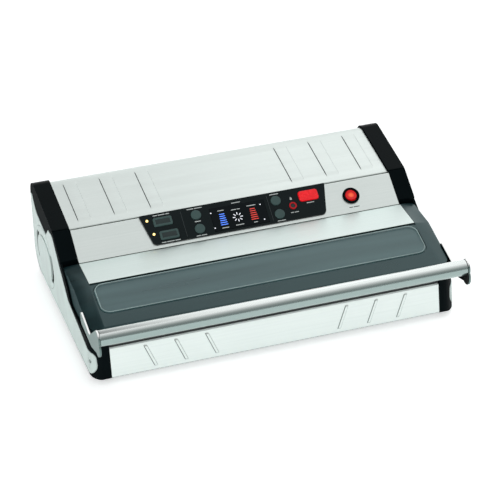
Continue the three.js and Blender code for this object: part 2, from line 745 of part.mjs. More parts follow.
// ---------------------------------------------------------------- lid
const LID_LOW = DECK_Z + 0.4;
const LID_WALL = 3;
const LID_REAR_WALL = 134.5;
const STRIP_TOP = 83.5;
const STRIP_HALF = 215.4;
const WINDOW = { half: 214.4, from: 23.6, to: 75.4, radius: 14, lip: 6 };
const WINDOW_GROOVE = { depth: 1.8, to: 80 }; // dark channel between the window and the steel strip
const LID_FALL = 3.6; // how much lower the lid's ends are than its middle
const BRACKET = { from: 196, to: 203 };
const PIN = { from: 184, to: 213 };

const LID_ROOF = STRIP_TOP - SHEET - GAP;
const LID_CEILING = LID_ROOF - LID_WALL;

// Side view of the lid from outside: a wedge with a step that the bright strip lies on.
function lidOutside() {
  const step = LID_BEND[0] + 0.4;
  return [
    [LID_FRONT[0], LID_LOW, 1.5],
    [LID_REAR_WALL, LID_LOW],
    [LID_REAR_WALL, LID_ROOF],
    [step, LID_ROOF],
    [step, lidZ(step)],
    [LID_FRONT[0], LID_FRONT[1], 5],
  ];
}

// Side view of the hollow in the lid, open below.
function lidInside() {
  const front = LID_FRONT[0] + LID_WALL;
  const drop = LID_WALL / Math.cos(LID_SLOPE);
  const bend = LID_FRONT[0] + (LID_CEILING + drop - LID_FRONT[1]) / Math.tan(LID_SLOPE);
  return [
    [front, LID_LOW - 5],
    [LID_REAR_WALL - LID_WALL, LID_LOW - 5],
    [LID_REAR_WALL - LID_WALL, LID_CEILING],
    [bend, LID_CEILING],
    [front, lidZ(front) - drop, 3],
  ];
}

const lidPlan = (half, from, radius) =>
  prism("z", rounded([[half, 160], [-half, 160], [-half, from, radius], [half, from, radius]], 10), 0, 130);

// The end cheeks of the lid run level with the steel strip and are round about the hinge.
function lidCheek() {
  const cheek = rounded([
    [LID_BEND[0] - 6, LID_LOW + 8],
    [LID_REAR_WALL, LID_LOW + 8],
    [LID_REAR_WALL, HINGE[1] - 5],
    [HINGE[0], HINGE[1] - 5],
    [HINGE[0], STRIP_TOP],
    [LID_BEND[0], STRIP_TOP, 3],
    [LID_BEND[0] - 6, lidZ(LID_BEND[0] - 6)],
  ]);
  const reach = STRIP_TOP - HINGE[1];
  return join(
    prism("x", cheek, STRIP_HALF + GAP, LID_HALF),
    rod("x", reach, HINGE[0], HINGE[1], STRIP_HALF + GAP, LID_HALF, 28),
  );
}

// The wedges above the lid's falling ends, moved down by a depth.
function lidEndWedges(depth) {
  const start = STRIP_HALF + 2 * GAP;
  const drop = (LID_FALL * (LID_HALF + 10 - start)) / (LID_HALF - start);
  const outline = (top) => [
    new THREE.Vector2(start, top - depth),
    new THREE.Vector2(LID_HALF + 10, top - depth - drop),
    new THREE.Vector2(LID_HALF + 10, top + 20),
    new THREE.Vector2(start, top + 20),
  ];
  const wedge = join(
    onSlope(prism("y", outline(0), -30, 100), LID_FRONT, LID_SLOPE),
    prism("y", outline(STRIP_TOP), LID_BEND[0] - 10, 170),
  );
  return join(wedge, mirrored(wedge));
}

function lidFrame() {
  const outside = overlap(
    join(
      prism("x", rounded(lidOutside()), -LID_HALF, LID_HALF),
      lidCheek(),
      mirrored(lidCheek()),
      rod("x", HINGE_RADIUS, HINGE[0], HINGE[1], -STRIP_HALF - 1, STRIP_HALF + 1, 28),
      box(
        -STRIP_HALF - 1,
        STRIP_HALF + 1,
        LID_REAR_WALL - 1,
        HINGE[0],
        HINGE[1] - HINGE_RADIUS,
        HINGE[1] + 2,
      ),
    ),
    lidPlan(LID_HALF, LID_FRONT[0], 17),
  );
  const inside = overlap(
    prism("x", rounded(lidInside()), -LID_HALF + LID_WALL, LID_HALF - LID_WALL),
    lidPlan(LID_HALF - LID_WALL, LID_FRONT[0] + LID_WALL, 14),
  );
  const shell = cut(outside, lidEndWedges(0));
  const cavity = cut(inside, lidEndWedges(LID_WALL));
  const hollow = cut(shell, cavity);

  // walls that carry the upper gasket and the pressure strip reach up to the roof
  const roofSpace = overlap(shell, box(-300, 300, 0, 200, GASKET.top + 5, 130));
  const gasketWall = overlap(hollowRing(GASKET, GASKET.width, GASKET.top + 5, 90), roofSpace);
  const ribs = [-1, 1].map((side) => {
    const y = SEAL_Y + side * 6.4;
    return overlap(box(-SEAL_HALF, SEAL_HALF, y - 0.9, y + 0.9, GASKET.top + 4.6, 90), shell);
  });

  const { half, from, to, radius, lip } = WINDOW;
  const rebate = prism("z", rounded(narrower(-GAP, -half, from, half, to, radius), 10), -2.4, 6);
  const opening = prism("z", rounded(narrower(lip, -half, from, half, to, radius - lip), 15), -12, 6);
  const { depth, to: grooveTo } = WINDOW_GROOVE;
  const groove = box(-STRIP_HALF, STRIP_HALF, to, grooveTo, -depth, 6);
  const brackets = [-1, 1].map((side) => {
    const x0 = side > 0 ? BRACKET.from - 1 : -BRACKET.to - 1;
    const x1 = side > 0 ? BRACKET.to + 1 : -BRACKET.from + 1;
    return box(x0, x1, LID_REAR_WALL + 0.4, HINGE[0] + 8, LID_LOW - 1, STRIP_TOP + 1);
  });
  const bores = [-1, 1].map((side) => {
    const x0 = side > 0 ? PIN.from - 1 : -PIN.to - 1;
    const x1 = side > 0 ? PIN.to + 1 : -PIN.from + 1;
    return rod("x", PIN_RADIUS + GAP, HINGE[0], HINGE[1], x0, x1, 20);
  });
  return cut(
    join(hollow, gasketWall, ...ribs),
    onSlope(rebate, LID_FRONT, LID_SLOPE),
    onSlope(groove, LID_FRONT, LID_SLOPE),
    onSlope(opening, LID_FRONT, LID_SLOPE),
    ...brackets,
    ...bores,
  );
}
addPiece("lid_frame", lidFrame(), MATERIAL.lid);

function lidWindow() {
  const { half, from, to, radius, lip } = WINDOW;
  const pane = join(
    prism("z", rounded(rectangle(-half, from, half, to, radius), 10), -2.1, -0.9),
    prism("z", rounded(narrower(1, -half, from, half, to, radius - 1), 10), -2.1, 0.9),
    prism("z", rounded(narrower(lip + 1, -half, from, half, to, radius - lip), 22.5), -3, 0),
  );
  return onSlope(pane, LID_FRONT, LID_SLOPE);
}
addPiece("lid_window", lidWindow(), MATERIAL.smoked);

// Bright strip over the back of the lid; its rear edge is rolled about the hinge line.
function lidStrip() {
  const outer = STRIP_TOP - HINGE[1];
  const inner = outer - SHEET;
  const outline = [
    new THREE.Vector2(LID_BEND[0] + 1, STRIP_TOP - SHEET),
    ...new THREE.EllipseCurve(...HINGE, inner, inner, Math.PI / 2, 0, true).getPoints(10),
    ...new THREE.EllipseCurve(...HINGE, outer, outer, 0, Math.PI / 2).getPoints(10),
    new THREE.Vector2(LID_BEND[0] + 1, STRIP_TOP),
  ];
  return prism("x", outline, -STRIP_HALF, STRIP_HALF);
}
addPiece("lid_strip", lidStrip(), MATERIAL.brightSteel);

addPiece(
  "lid_gasket",
  hollowRing(GASKET, GASKET.width, GASKET.top + GAP, GASKET.top + 4.7),
  MATERIAL.foam,
);
addPiece(
  "pressure_strip",
  box(-208, 208, SEAL_Y - 5.1, SEAL_Y + 5.1, SEAL_TOP + 1.5, 61.5),
  MATERIAL.silicone,
);

// ---------------------------------------------------------------- hinge
function hingeBracket() {
  const { from, to } = BRACKET;
  const body = join(
    box(from, to, HINGE[0] - 3.4, HINGE[0] + 1.4, DECK_Z + GAP, HINGE[1]),
    rod("x", HINGE_RADIUS - 0.2, HINGE[0], HINGE[1], from, to, 28),
    box(from - 4, to + 4, HINGE[0] - 3.4, HINGE[0] + 4.6, DECK_Z + GAP, DECK_Z + 2.6),
  );
  return cut(body, rod("x", PIN_RADIUS + GAP, HINGE[0], HINGE[1], from - 2, to + 2, 20));
}
addPair("hinge_bracket", hingeBracket(), MATERIAL.motor);
addPair(
  "hinge_pin",
  rod("x", PIN_RADIUS, HINGE[0], HINGE[1], PIN.from, PIN.to, 20),
  MATERIAL.brightSteel,
);

// ---------------------------------------------------------------- handle
addPiece(
  "handle_bar",
  ring("x", BAR_RADIUS, BAR_RADIUS - 1.5, ...BAR, -BAR_HALF, BAR_HALF, 48),
  MATERIAL.tube,
);

// Arm plate: a rounded end over the bar, tapering back along the side of the lid. A plug on its inner
// face holds the bar.
const ARM_INNER = LID_HALF + GAP;
const ARM_OUTER = ARM_INNER + 2.4;
function handleArm() {
  const blade = rounded([
    [LOBE[0] + 5, LOBE[1] - 11.3, 4],
    [0, 51.8, 8],
    [51, 56, 5],
    [52, lidZ(52) - 0.8, 4],
    [10, lidZ(10) - 0.8, 10],
    [BAR[0] + 4, BAR[1] + BAR_RADIUS],
    [LOBE[0] - 4, LOBE[1]],
  ]);
  return join(
    prism("x", blade, ARM_INNER, ARM_OUTER),
    rod("x", LOBE_RADIUS, ...LOBE, ARM_INNER, ARM_OUTER, 48),
    rod("x", BAR_RADIUS + 0.4, ...BAR, ARM_INNER, ARM_OUTER, 48),
    rod("x", BAR_RADIUS - 1.5 - GAP, ...BAR, ARM_INNER - 12, ARM_INNER + 1, 20),
  );
}
addPair("handle_arm", handleArm(), MATERIAL.armSteel);

// ---------------------------------------------------------------- machinery inside the housing
// Vacuum pump: a motor lying along x and its diaphragm head with a hose nipple towards the front.
const PUMP = { y: 232, z: 34, motorRadius: 19, from: 34, split: 70, to: 132 };
const NIPPLE = { x: 48, z: 46, length: 9, radius: 3 };
function pumpHead() {
  const { y, z, from, split } = PUMP;
  return join(
    prism("x", rounded(rectangle(y - 24, z - 26, y + 24, z + 26, 6), 30), from, split),
    rod("y", NIPPLE.radius, NIPPLE.x, NIPPLE.z, y - 24 - NIPPLE.length, y - 23, 12),
  );
}
function pumpMotor() {
  const { y, z, motorRadius, split, to } = PUMP;
  return join(
    rod("x", motorRadius, y, z, split + GAP, to, 32),
    rod("x", 7, y, z, to - 1, to + 5, 16),
  );
}
addPair("pump_head", pumpHead(), MATERIAL.nylon);
addPair("pump_motor", pumpMotor(), MATERIAL.motor);

// Solenoid valve on the middle line; both pump hoses and the channel meet in its block.
const VALVE = { y: 165, z: 40 };
function solenoidValve() {
  const { y, z } = VALVE;
  return join(
    prism("z", rounded(rectangle(-16, y - 12, 16, y + 12, 2), 30), z - 10, z + 10),
    rod("z", 10, 0, y, z + 9, z + 34, 24),
    ...[-1, 1].map((side) => rod("y", NIPPLE.radius, side * 9, z, y + 11, y + 20, 12)),
    rod("y", NIPPLE.radius, 0, z - 4, y - 21, y - 11, 12),
  );
}
addPiece("solenoid_valve", solenoidValve(), MATERIAL.motor);

// A hose pushed up to the valve's nipple at one end and the pump's at the other.
function pumpHose() {
  const start = new THREE.Vector3(9, VALVE.y + 20 + GAP, VALVE.z);
  const end = new THREE.Vector3(NIPPLE.x, PUMP.y - 24 - NIPPLE.length - GAP, NIPPLE.z);
  const route = new THREE.CubicBezierCurve3(
    start,
    start.clone().add(new THREE.Vector3(0, 8, 0)),
    end.clone().add(new THREE.Vector3(0, -8, 0)),
    end,
  );
  const section = new THREE.EllipseCurve(0, 0, 4, 4).getPoints(10).slice(0, 10);
  return new THREE.ExtrudeGeometry(new THREE.Shape(section), { steps: 14, extrudePath: route });
}
addPair("pump_hose", pumpHose(), MATERIAL.rubber);

// Sealing transformer: laminated core around two windings.
function transformer() {
  return join(
    box(152, 202, 188, 246, 12, 60),
    prism("y", rounded(rectangle(160, 20, 194, 52, 8), 30), 178, 256),
    box(146, 208, 196, 200, 4, 14),
    box(146, 208, 234, 238, 4, 14),
  );
}
addPiece("transformer", transformer(), MATERIAL.copper);

// Mains board with its heat sink and two relays.
function powerBoard() {
  return join(
    box(-206, -146, 160, 280, 18, 19.6),
    box(-200, -196, 172, 232, 19, 52),
    box(-180, -160, 172, 190, 19, 36),
    box(-180, -160, 198, 216, 19, 36),
    rod("z", 9, -168, 240, 19, 48, 20),
    ...[[-202, 164], [-150, 164], [-202, 276], [-150, 276]].map(([x, y]) => rod("z", 3, x, y, 3, 18.5, 10)),
  );
}
addPiece("power_board", powerBoard(), MATERIAL.board);

// Cooling fan behind the left vent cover, blowing out through its slots.
const FAN = { x0: -232, x1: -217.6, half: 30, duct: 28, rotor: 26.5, hub: 11 };
function fanFrame() {
  const { x0, x1, half, duct, hub } = FAN;
  const body = cut(
    prism("x", rounded(rectangle(VENT.y - half, VENT.z - half, VENT.y + half, VENT.z + half, 4), 30), x0, x1),
    rod("x", duct, VENT.y, VENT.z, x0 - 1, x1 + 1, 40),
  );
  const struts = [0, 1, 2].map((i) =>
    prism("x", rounded(rectangle(-1.4, 0, 1.4, duct + 1, 0)), x1 - 2, x1)
      .rotateX((i * 2 * Math.PI) / 3)
      .translate(0, VENT.y, VENT.z),
  );
  return join(body, rod("x", hub, VENT.y, VENT.z, x1 - 2, x1, 24), ...struts);
}
addPiece("fan_frame", fanFrame(), MATERIAL.deck);

function fanRotor() {
  const { x0, x1, rotor, hub } = FAN;
  const blades = [];
  for (let i = 0; i < 7; i++) {
    const blade = new THREE.BoxGeometry(1.4, 10, rotor - hub + 4);
    blade.rotateZ(0.75).translate(0, 0, (rotor + hub) / 2 - 2.4);
    blades.push(blade.rotateX((i * 2 * Math.PI) / 7));
  }
  const reach = (x1 - x0) / 2 - 2.6;
  return join(rod("x", hub, 0, 0, -reach, reach, 24), ...blades);
}
addPiece("fan_rotor", fanRotor(), MATERIAL.deck).position.set((FAN.x0 + FAN.x1) / 2 - 1.6, VENT.y, VENT.z);

// ---------------------------------------------------------------- origin
// The origin is on the floor, under the middle of the machine's length and width.
const FRONTMOST = LOBE[0] - LOBE_RADIUS;
const REARMOST = REAR_Y + 2.4;
machine.position.set(0, -(FRONTMOST + REARMOST) / 2, FOOT);

export default machine;
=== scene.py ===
"""Looks of a counter-top vacuum sealer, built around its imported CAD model.

Everything is in metres in the model's own frame: X to the user's right, Y to the back, Z up.
"""

import json
import math

import bmesh
import bpy
from mathutils import Matrix, Vector


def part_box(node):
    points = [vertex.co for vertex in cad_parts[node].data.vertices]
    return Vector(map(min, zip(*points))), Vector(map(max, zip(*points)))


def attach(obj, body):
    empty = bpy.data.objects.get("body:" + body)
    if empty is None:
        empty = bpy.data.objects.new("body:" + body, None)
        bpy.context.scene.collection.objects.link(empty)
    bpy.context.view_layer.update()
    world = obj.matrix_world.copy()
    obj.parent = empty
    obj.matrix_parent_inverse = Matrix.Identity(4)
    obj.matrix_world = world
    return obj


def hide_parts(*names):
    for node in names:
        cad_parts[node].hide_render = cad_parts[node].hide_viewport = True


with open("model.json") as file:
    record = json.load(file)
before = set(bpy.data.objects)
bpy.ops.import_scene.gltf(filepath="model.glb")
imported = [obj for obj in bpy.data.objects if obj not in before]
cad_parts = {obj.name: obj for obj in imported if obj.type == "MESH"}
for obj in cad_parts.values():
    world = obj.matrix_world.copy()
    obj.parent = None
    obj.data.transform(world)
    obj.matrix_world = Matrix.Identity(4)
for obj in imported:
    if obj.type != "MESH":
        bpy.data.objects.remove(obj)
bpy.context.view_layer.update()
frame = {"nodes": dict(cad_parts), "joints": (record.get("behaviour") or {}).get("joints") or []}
nodes = frame["nodes"]
joints = {joint["name"]: joint for joint in frame["joints"]}

MM = 0.001
SHEET = 1.2 * MM

KEYS = (
    "mode_button",
    "start_button",
    "pulse_button",
    "seal_button",
    "food_button",
    "marinate_button",
    "cancel_button",
)


# ---------------------------------------------------------------- shader helpers
def srgb(code):
    """A hex colour as the linear values that a shader takes."""
    parts = [int(code[i : i + 2], 16) / 255 for i in (0, 2, 4)]
    return (*[p / 12.92 if p <= 0.04045 else ((p + 0.055) / 1.055) ** 2.4 for p in parts], 1.0)


class Shader:
    """One Principled material and its nodes. Textures lie in the object's own coordinates."""

    def __init__(self, name, sockets):
        self.material = bpy.data.materials.new(name)
        self.material.use_nodes = True
        self.tree = self.material.node_tree
        self.principled = self.tree.nodes["Principled BSDF"]
        self.place = self.add("ShaderNodeTexCoord").outputs["Object"]
        for socket, value in sockets.items():
            self.principled.inputs[socket].default_value = value

    def add(self, kind, **settings):
        node = self.tree.nodes.new(kind)
        for name, value in settings.items():
            setattr(node, name, value)
        return node

    def feed(self, socket, value):
        """Links a socket to another one, or sets its value."""
        if isinstance(value, bpy.types.NodeSocket):
            self.tree.links.new(value, socket)
        else:
            socket.default_value = value

    def drive(self, name, value):
        self.feed(self.principled.inputs[name], value)

    def noise(self, scale, stretch=(1, 1, 1), detail=2.0):
        mapping = self.add("ShaderNodeMapping")
        self.feed(mapping.inputs["Vector"], self.place)
        mapping.inputs["Scale"].default_value = stretch
        noise = self.add("ShaderNodeTexNoise")
        self.feed(noise.inputs["Vector"], mapping.outputs["Vector"])
        noise.inputs["Scale"].default_value = scale
        noise.inputs["Detail"].default_value = detail
        return noise.outputs["Fac"]

    def cells(self, scale):
        voronoi = self.add("ShaderNodeTexVoronoi")
        self.feed(voronoi.inputs["Vector"], self.place)
        voronoi.inputs["Scale"].default_value = scale
        return voronoi.outputs["Distance"]

    def remap(self, value, low, high, to_low=0.0, to_high=1.0):
        node = self.add("ShaderNodeMapRange")
        self.feed(node.inputs["Value"], value)
        for name, number in zip(("From Min", "From Max", "To Min", "To Max"), (low, high, to_low, to_high)):
            node.inputs[name].default_value = number
        return node.outputs["Result"]

    def maths(self, operation, a, b=0.0):
        node = self.add("ShaderNodeMath", operation=operation)
        self.feed(node.inputs[0], a)
        self.feed(node.inputs[1], b)
        return node.outputs["Value"]

    def mix(self, share, a, b):
        node = self.add("ShaderNodeMix", data_type="RGBA")
        self.feed(node.inputs["Factor"], share)
        self.feed(node.inputs["A"], a)
        self.feed(node.inputs["B"], b)
        return node.outputs["Result"]

    def bump(self, height, distance):
        """Adds relief: height runs from 0 to 1 over a distance in metres."""
        node = self.add("ShaderNodeBump")
        node.inputs["Distance"].default_value = distance
        node.inputs["Strength"].default_value = 1.0
        self.feed(node.inputs["Height"], height)
        links = self.principled.inputs["Normal"].links
        if links:
            self.feed(node.inputs["Normal"], links[0].from_socket)
        self.feed(self.principled.inputs["Normal"], node.outputs["Normal"])

    def edges(self, radius):
        """1 on edges, in broken patches, and 0 on open faces: the mask of a painted edge highlight."""
        bevel = self.add("ShaderNodeBevel", samples=4)
        bevel.inputs["Radius"].default_value = radius
        dot = self.add("ShaderNodeVectorMath", operation="DOT_PRODUCT")
        self.feed(dot.inputs[0], bevel.outputs["Normal"])
        self.feed(dot.inputs[1], self.add("ShaderNodeNewGeometry").outputs["Normal"])
        broken = self.maths("MULTIPLY", self.remap(dot.outputs["Value"], 0.99, 0.8), self.noise(60, detail=4))
        return self.remap(broken, 0.2, 0.6)

    def facing(self, axis):
        """How far a face is turned towards one of the object's own axes, from -1 to 1."""
        split = self.add("ShaderNodeSeparateXYZ")
        self.feed(split.inputs["Vector"], self.add("ShaderNodeTexCoord").outputs["Normal"])
        return split.outputs[axis]


# ---------------------------------------------------------------- material recipes
def brushed_steel(name, light, dark, roughness, grain=(5, 420, 420)):
    """Stainless sheet with a hairline brush.

    grain is the brush's pitch along each axis, per metre. The tone also darkens on faces that point
    left, right or down: painted shade, fitted to the photo's brightness and not a finish of the real sheet.
    """
    s = Shader(name, {"Metallic": 1.0})
    hair = s.noise(1, grain, detail=5)
    streak = s.noise(1, tuple(g * 0.12 for g in grain), detail=2)
    cloud = s.noise(9, detail=2)
    broad = s.maths("MULTIPLY", s.maths("ADD", streak, cloud), 0.25)
    tone = s.maths("ADD", s.maths("MULTIPLY", hair, 0.55), broad)
    # Painted shade: faces turned left, right or down are mixed towards the dark grey 56605e.
    left = s.remap(s.facing("X"), -0.12, -0.4, 0.0, 0.95)
    right = s.remap(s.facing("X"), 0.2, 0.5, 0.0, 0.45)
    below = s.remap(s.facing("Z"), -0.1, -0.5, 0.0, 0.8)
    steel_painted_shade = s.maths("MAXIMUM", s.maths("MAXIMUM", left, right), below)
    sheet = s.mix(s.remap(tone, 0.32, 0.68), srgb(dark), srgb(light))
    s.drive("Base Color", s.mix(steel_painted_shade, sheet, srgb("56605e")))
    s.drive("Roughness", s.remap(hair, 0.3, 0.7, roughness - 0.05, roughness + 0.09))
    s.bump(hair, 0.0015 * MM)
    return s.material


def tube_metal(name):
    """Steel tube with a painted highlight on its crown and painted shade on its flanks, fitted to the photo's
    brightness.
    """
    s = Shader(name, {"Metallic": 1.0})
    hair = s.noise(1, (3, 120, 120), detail=4)
    # Painted highlight on the upward faces and painted shade on faces turned sideways or down.
    tube_painted_highlight = s.mix(s.remap(hair, 0.3, 0.7), srgb("e2eae8"), srgb("eef4f2"))
    tube_painted_shade = s.mix(s.remap(hair, 0.3, 0.7), srgb("98a9a6"), srgb("a0b0ad"))
    s.drive("Base Color", s.mix(s.remap(s.facing("Z"), 0.85, 0.45), tube_painted_highlight, tube_painted_shade))
    s.drive("Roughness", s.remap(hair, 0.3, 0.7, 0.16, 0.24))
    return s.material


def arm_steel(name):
    """Satin plate with a polished upper edge that carries a painted highlight, and painted shade on the face
    towards the lid.
    """
    s = Shader(name, {"Metallic": 1.0})
    hair = s.noise(1, (300, 12, 300), detail=5)
    satin = s.mix(s.remap(hair, 0.3, 0.7), srgb("6c807d"), srgb("768a87"))
    split = s.add("ShaderNodeSeparateXYZ")
    s.feed(split.inputs["Vector"], s.place)
    outwards = s.maths("MULTIPLY", s.maths("SIGN", split.outputs["X"]), s.facing("X"))
    # Painted shade: the face towards the lid is near black.
    plate = s.mix(s.remap(outwards, -0.4, -0.6), satin, srgb("0c1011"))
    # Painted highlight: faces that point up are near white; they are also smoother.
    edge = s.remap(s.facing("Z"), 0.5, 0.75)
    s.drive("Base Color", s.mix(edge, plate, srgb("f6f8f7")))
    s.drive("Roughness", s.remap(edge, 0.0, 1.0, 0.42, 0.16))
    s.bump(hair, 0.004 * MM)
    return s.material


def lid_shell(name):
    """Black plastic, polished on top and matt on its walls."""
    reflection = {"Specular IOR Level": 0.85, "Specular Tint": srgb("a6dade")}
    s = Shader(name, {"Coat Roughness": 0.18, "Coat Tint": srgb("d8f0f0"), **reflection})
    flow = s.noise(22, (1, 2.5, 1), detail=3)
    top = s.remap(s.facing("Z"), 0.3, 0.8)
    wall_roughness = s.remap(top, 0.0, 1.0, 0.9, 0.0)
    s.drive("Base Color", s.mix(s.remap(flow, 0.35, 0.65), srgb("0c1c1f"), srgb("132629")))
    s.drive("Coat Weight", s.maths("MULTIPLY", top, 0.6))
    s.drive("Roughness", s.maths("MAXIMUM", wall_roughness, s.remap(flow, 0.3, 0.7, 0.26, 0.34)))
    s.bump(s.noise(1400), 0.003 * MM)
    return s.material


def moulded(name, colour, roughness, grain=0.02 * MM, pitch=1400, edge_highlight_colour="", sockets=None):
    """Grained plastic: fine spark-eroded texture, faint flow marks and, when given a colour, a painted
    highlight on its edges.
    """
    s = Shader(name, sockets or {})
    flow = s.noise(22, (1, 2.5, 1), detail=3)
    fine = s.noise(pitch, detail=2)
    base = srgb(colour)
    deep = tuple(c * 0.86 for c in base[:3]) + (1.0,)
    tone = s.mix(s.remap(flow, 0.35, 0.65), deep, base)
    if edge_highlight_colour:
        # Painted highlight: the edges are mixed towards a lighter colour.
        tone = s.mix(s.edges(0.5 * MM), tone, srgb(edge_highlight_colour))
    s.drive("Base Color", tone)
    s.drive("Roughness", s.remap(flow, 0.3, 0.7, roughness - 0.04, roughness + 0.06))
    s.bump(fine, grain)
    return s.material


def glossy(name, colour, roughness=0.07, edge_highlight_colour="", shine=0.22, side_roughness=0.0):
    """Polished plastic with a trace of orange peel and hairline wiping marks.

    Its faces to the left and right may be rougher.
    """
    s = Shader(name, {"Specular IOR Level": shine, "Specular Tint": srgb("c8e4e6")})
    side = s.remap(s.maths("ABSOLUTE", s.facing("X")), 0.5, 0.8, 0.0, side_roughness)
    wiped = s.noise(1, (260, 18, 260), detail=4)
    pale = tuple(c * 1.25 for c in srgb(colour)[:3]) + (1.0,)
    tone = s.mix(s.remap(s.noise(30), 0.35, 0.65), srgb(colour), pale)
    if edge_highlight_colour:
        # Painted highlight: the edges are mixed towards a lighter colour.
        tone = s.mix(s.edges(0.4 * MM), tone, srgb(edge_highlight_colour))
    s.drive("Base Color", tone)
    s.drive("Roughness", s.maths("MAXIMUM", side, s.remap(wiped, 0.45, 0.75, roughness, roughness + 0.12)))
    s.bump(s.noise(160, detail=1), 0.012 * MM)
    return s.material


def smoked_window(name):
    """Smoked acrylic, frosted on its underside."""
    s = Shader(name, {"Transmission Weight": 0.12, "Coat Weight": 0.3, "Coat Roughness": 0.15, "IOR": 1.49})
    haze = s.noise(14, (0.22, 3.0, 1), detail=2)
    smoke = s.mix(s.remap(haze, 0.3, 0.7), srgb("3d5c5f"), srgb("58797b"))
    s.drive("Base Color", smoke)
    s.drive("Roughness", s.remap(haze, 0.3, 0.7, 0.26, 0.34))
    s.bump(s.noise(40, detail=1), 0.004 * MM)
    return s.material


def foam(name, colour):
    """Closed-cell foam with open pores where it was cut; the pores are painted near black as shade."""
    s = Shader(name, {"Sheen Weight": 0.25})
    pores = s.cells(900)
    # Painted shade: the pores are near black.
    s.drive("Base Color", s.mix(s.remap(pores, 0.1, 0.5), srgb("050505"), srgb(colour)))
    s.drive("Roughness", s.remap(s.noise(300, detail=3), 0.3, 0.7, 0.82, 0.98))
    s.bump(pores, 0.25 * MM)
    return s.material


def rubber(name, colour):
    """Soft rubber with a pale bloom."""
    s = Shader(name, {"Sheen Weight": 0.1})
    bloom = s.noise(70, detail=4)
    s.drive("Base Color", s.mix(s.remap(bloom, 0.45, 0.8), srgb(colour), srgb("4a4a4a")))
    s.drive("Roughness", s.remap(bloom, 0.3, 0.7, 0.6, 0.85))
    s.bump(s.noise(1800, detail=2), 0.03 * MM)
    return s.material


def woven_tape(name):
    """Fluoropolymer-coated glass cloth: a plain weave of two crossing sets of threads."""
    s = Shader(name, {"Coat Weight": 0.4, "Coat Roughness": 0.25})
    threads = []
    for direction in ("X", "Y"):
        wave = s.add("ShaderNodeTexWave", bands_direction=direction)
        s.feed(wave.inputs["Vector"], s.place)
        wave.inputs["Scale"].default_value = 420
        wave.inputs["Distortion"].default_value = 0.4
        threads.append(wave.outputs["Fac"])
    weave = s.maths("MAXIMUM", *threads)
    scorch = s.remap(s.noise(40, (1, 0.2, 1), detail=4), 0.45, 0.75)
    s.drive("Base Color", s.mix(scorch, s.mix(weave, srgb("6e5130"), srgb("a98453")), srgb("5c3d20")))
    s.drive("Roughness", s.remap(weave, 0.0, 1.0, 0.55, 0.4))
    s.bump(weave, 0.05 * MM)
    return s.material


def circuit_board(name):
    """Green solder mask with copper tracks under it and tinned pads."""
    s = Shader(name, {"Coat Weight": 0.5})
    tracks = s.cells(140)
    pads = s.remap(s.cells(260), 0.12, 0.1)
    mask = s.mix(s.remap(tracks, 0.3, 0.36), srgb("2f7d45"), srgb("17502b"))
    s.drive("Base Color", s.mix(pads, mask, srgb("b9bcb4")))
    s.drive("Roughness", s.remap(tracks, 0.2, 0.5, 0.3, 0.5))
    s.bump(tracks, 0.05 * MM)
    return s.material


def wound_copper(name):
    """Varnished windings: fine turns side by side, with painted shade in the grooves between them."""
    s = Shader(name, {"Metallic": 0.7, "Coat Weight": 0.5})
    turns = s.add("ShaderNodeTexWave", bands_direction="Z")
    s.feed(turns.inputs["Vector"], s.place)
    turns.inputs["Scale"].default_value = 300
    # Painted shade: dark bands between the turns.
    s.drive("Base Color", s.mix(turns.outputs["Fac"], srgb("5a2c12"), srgb("c07a45")))
    s.drive("Roughness", s.remap(s.noise(200), 0.3, 0.7, 0.3, 0.5))
    s.bump(turns.outputs["Fac"], 0.2 * MM)
    return s.material


def lit(name, colour, strength, roughness=0.2, coat=0.6):
    """Translucent, slightly cloudy plastic that glows, as with a lamp behind it."""
    s = Shader(name, {"Coat Weight": coat, "Emission Strength": strength, "Specular IOR Level": 0.3})
    cloud = s.remap(s.noise(240, detail=2), 0.3, 0.7)
    dim = tuple(c * 0.8 for c in srgb(colour)[:3]) + (1.0,)
    s.drive("Base Color", s.mix(cloud, dim, srgb(colour)))
    s.drive("Emission Color", s.mix(cloud, dim, srgb(colour)))
    s.drive("Roughness", s.remap(cloud, 0.0, 1.0, roughness, roughness + 0.1))
    s.bump(s.noise(500), 0.01 * MM)
    return s.material


def rocker_lens(name, centre, radius):
    """Red lens over a neon lamp: pale orange in the middle, deep red at the rim."""
    sockets = {"Coat Weight": 0.15, "Emission Strength": 0.9, "Specular IOR Level": 0.2, "Roughness": 0.2}
    s = Shader(name, sockets)
    offset = s.add("ShaderNodeVectorMath", operation="DISTANCE")
    s.feed(offset.inputs[0], s.place)
    offset.inputs[1].default_value = centre
    ribs = s.noise(1, (900, 40, 40), detail=1)
    away = s.maths("ADD", offset.outputs["Value"], s.maths("MULTIPLY", ribs, 0.4 * MM))
    glow = s.remap(away, 0.78 * radius, 0.12 * radius)
    s.drive("Emission Color", s.mix(glow, srgb("a80e10"), srgb("ff8a50")))
    s.drive("Base Color", s.mix(glow, srgb("a00c10"), srgb("e8401c")))
    s.bump(ribs, 0.02 * MM)
    return s.material


# ---------------------------------------------------------------- shape helpers
def arc_corner(before, at, after, radius, step):
    """The points that round one corner of an outline."""
    back, ahead = (before - at).normalized(), (after - at).normalized()
    turn = math.pi - back.angle(ahead)
    if not radius or turn < 0.01:
        return [at]
    start = at + back * radius * math.tan(turn / 2)
    centre = at + (back + ahead).normalized() * radius / math.cos(turn / 2)
    side = -1 if back.cross(ahead) > 0 else 1
    count = max(2, math.ceil(math.degrees(turn) / step))
    spoke = start - centre
    return [centre + Matrix.Rotation(side * turn * i / count, 2) @ spoke for i in range(count + 1)]


def rounded(corners, step=9):
    """An outline from corners (u, v, radius)."""
    spots = [Vector(c[:2]) for c in corners]
    radii = [c[2] if len(c) > 2 else 0 for c in corners]
    points = []
    for i, spot in enumerate(spots):
        points += arc_corner(spots[i - 1], spot, spots[(i + 1) % len(spots)], radii[i], step)
    return points


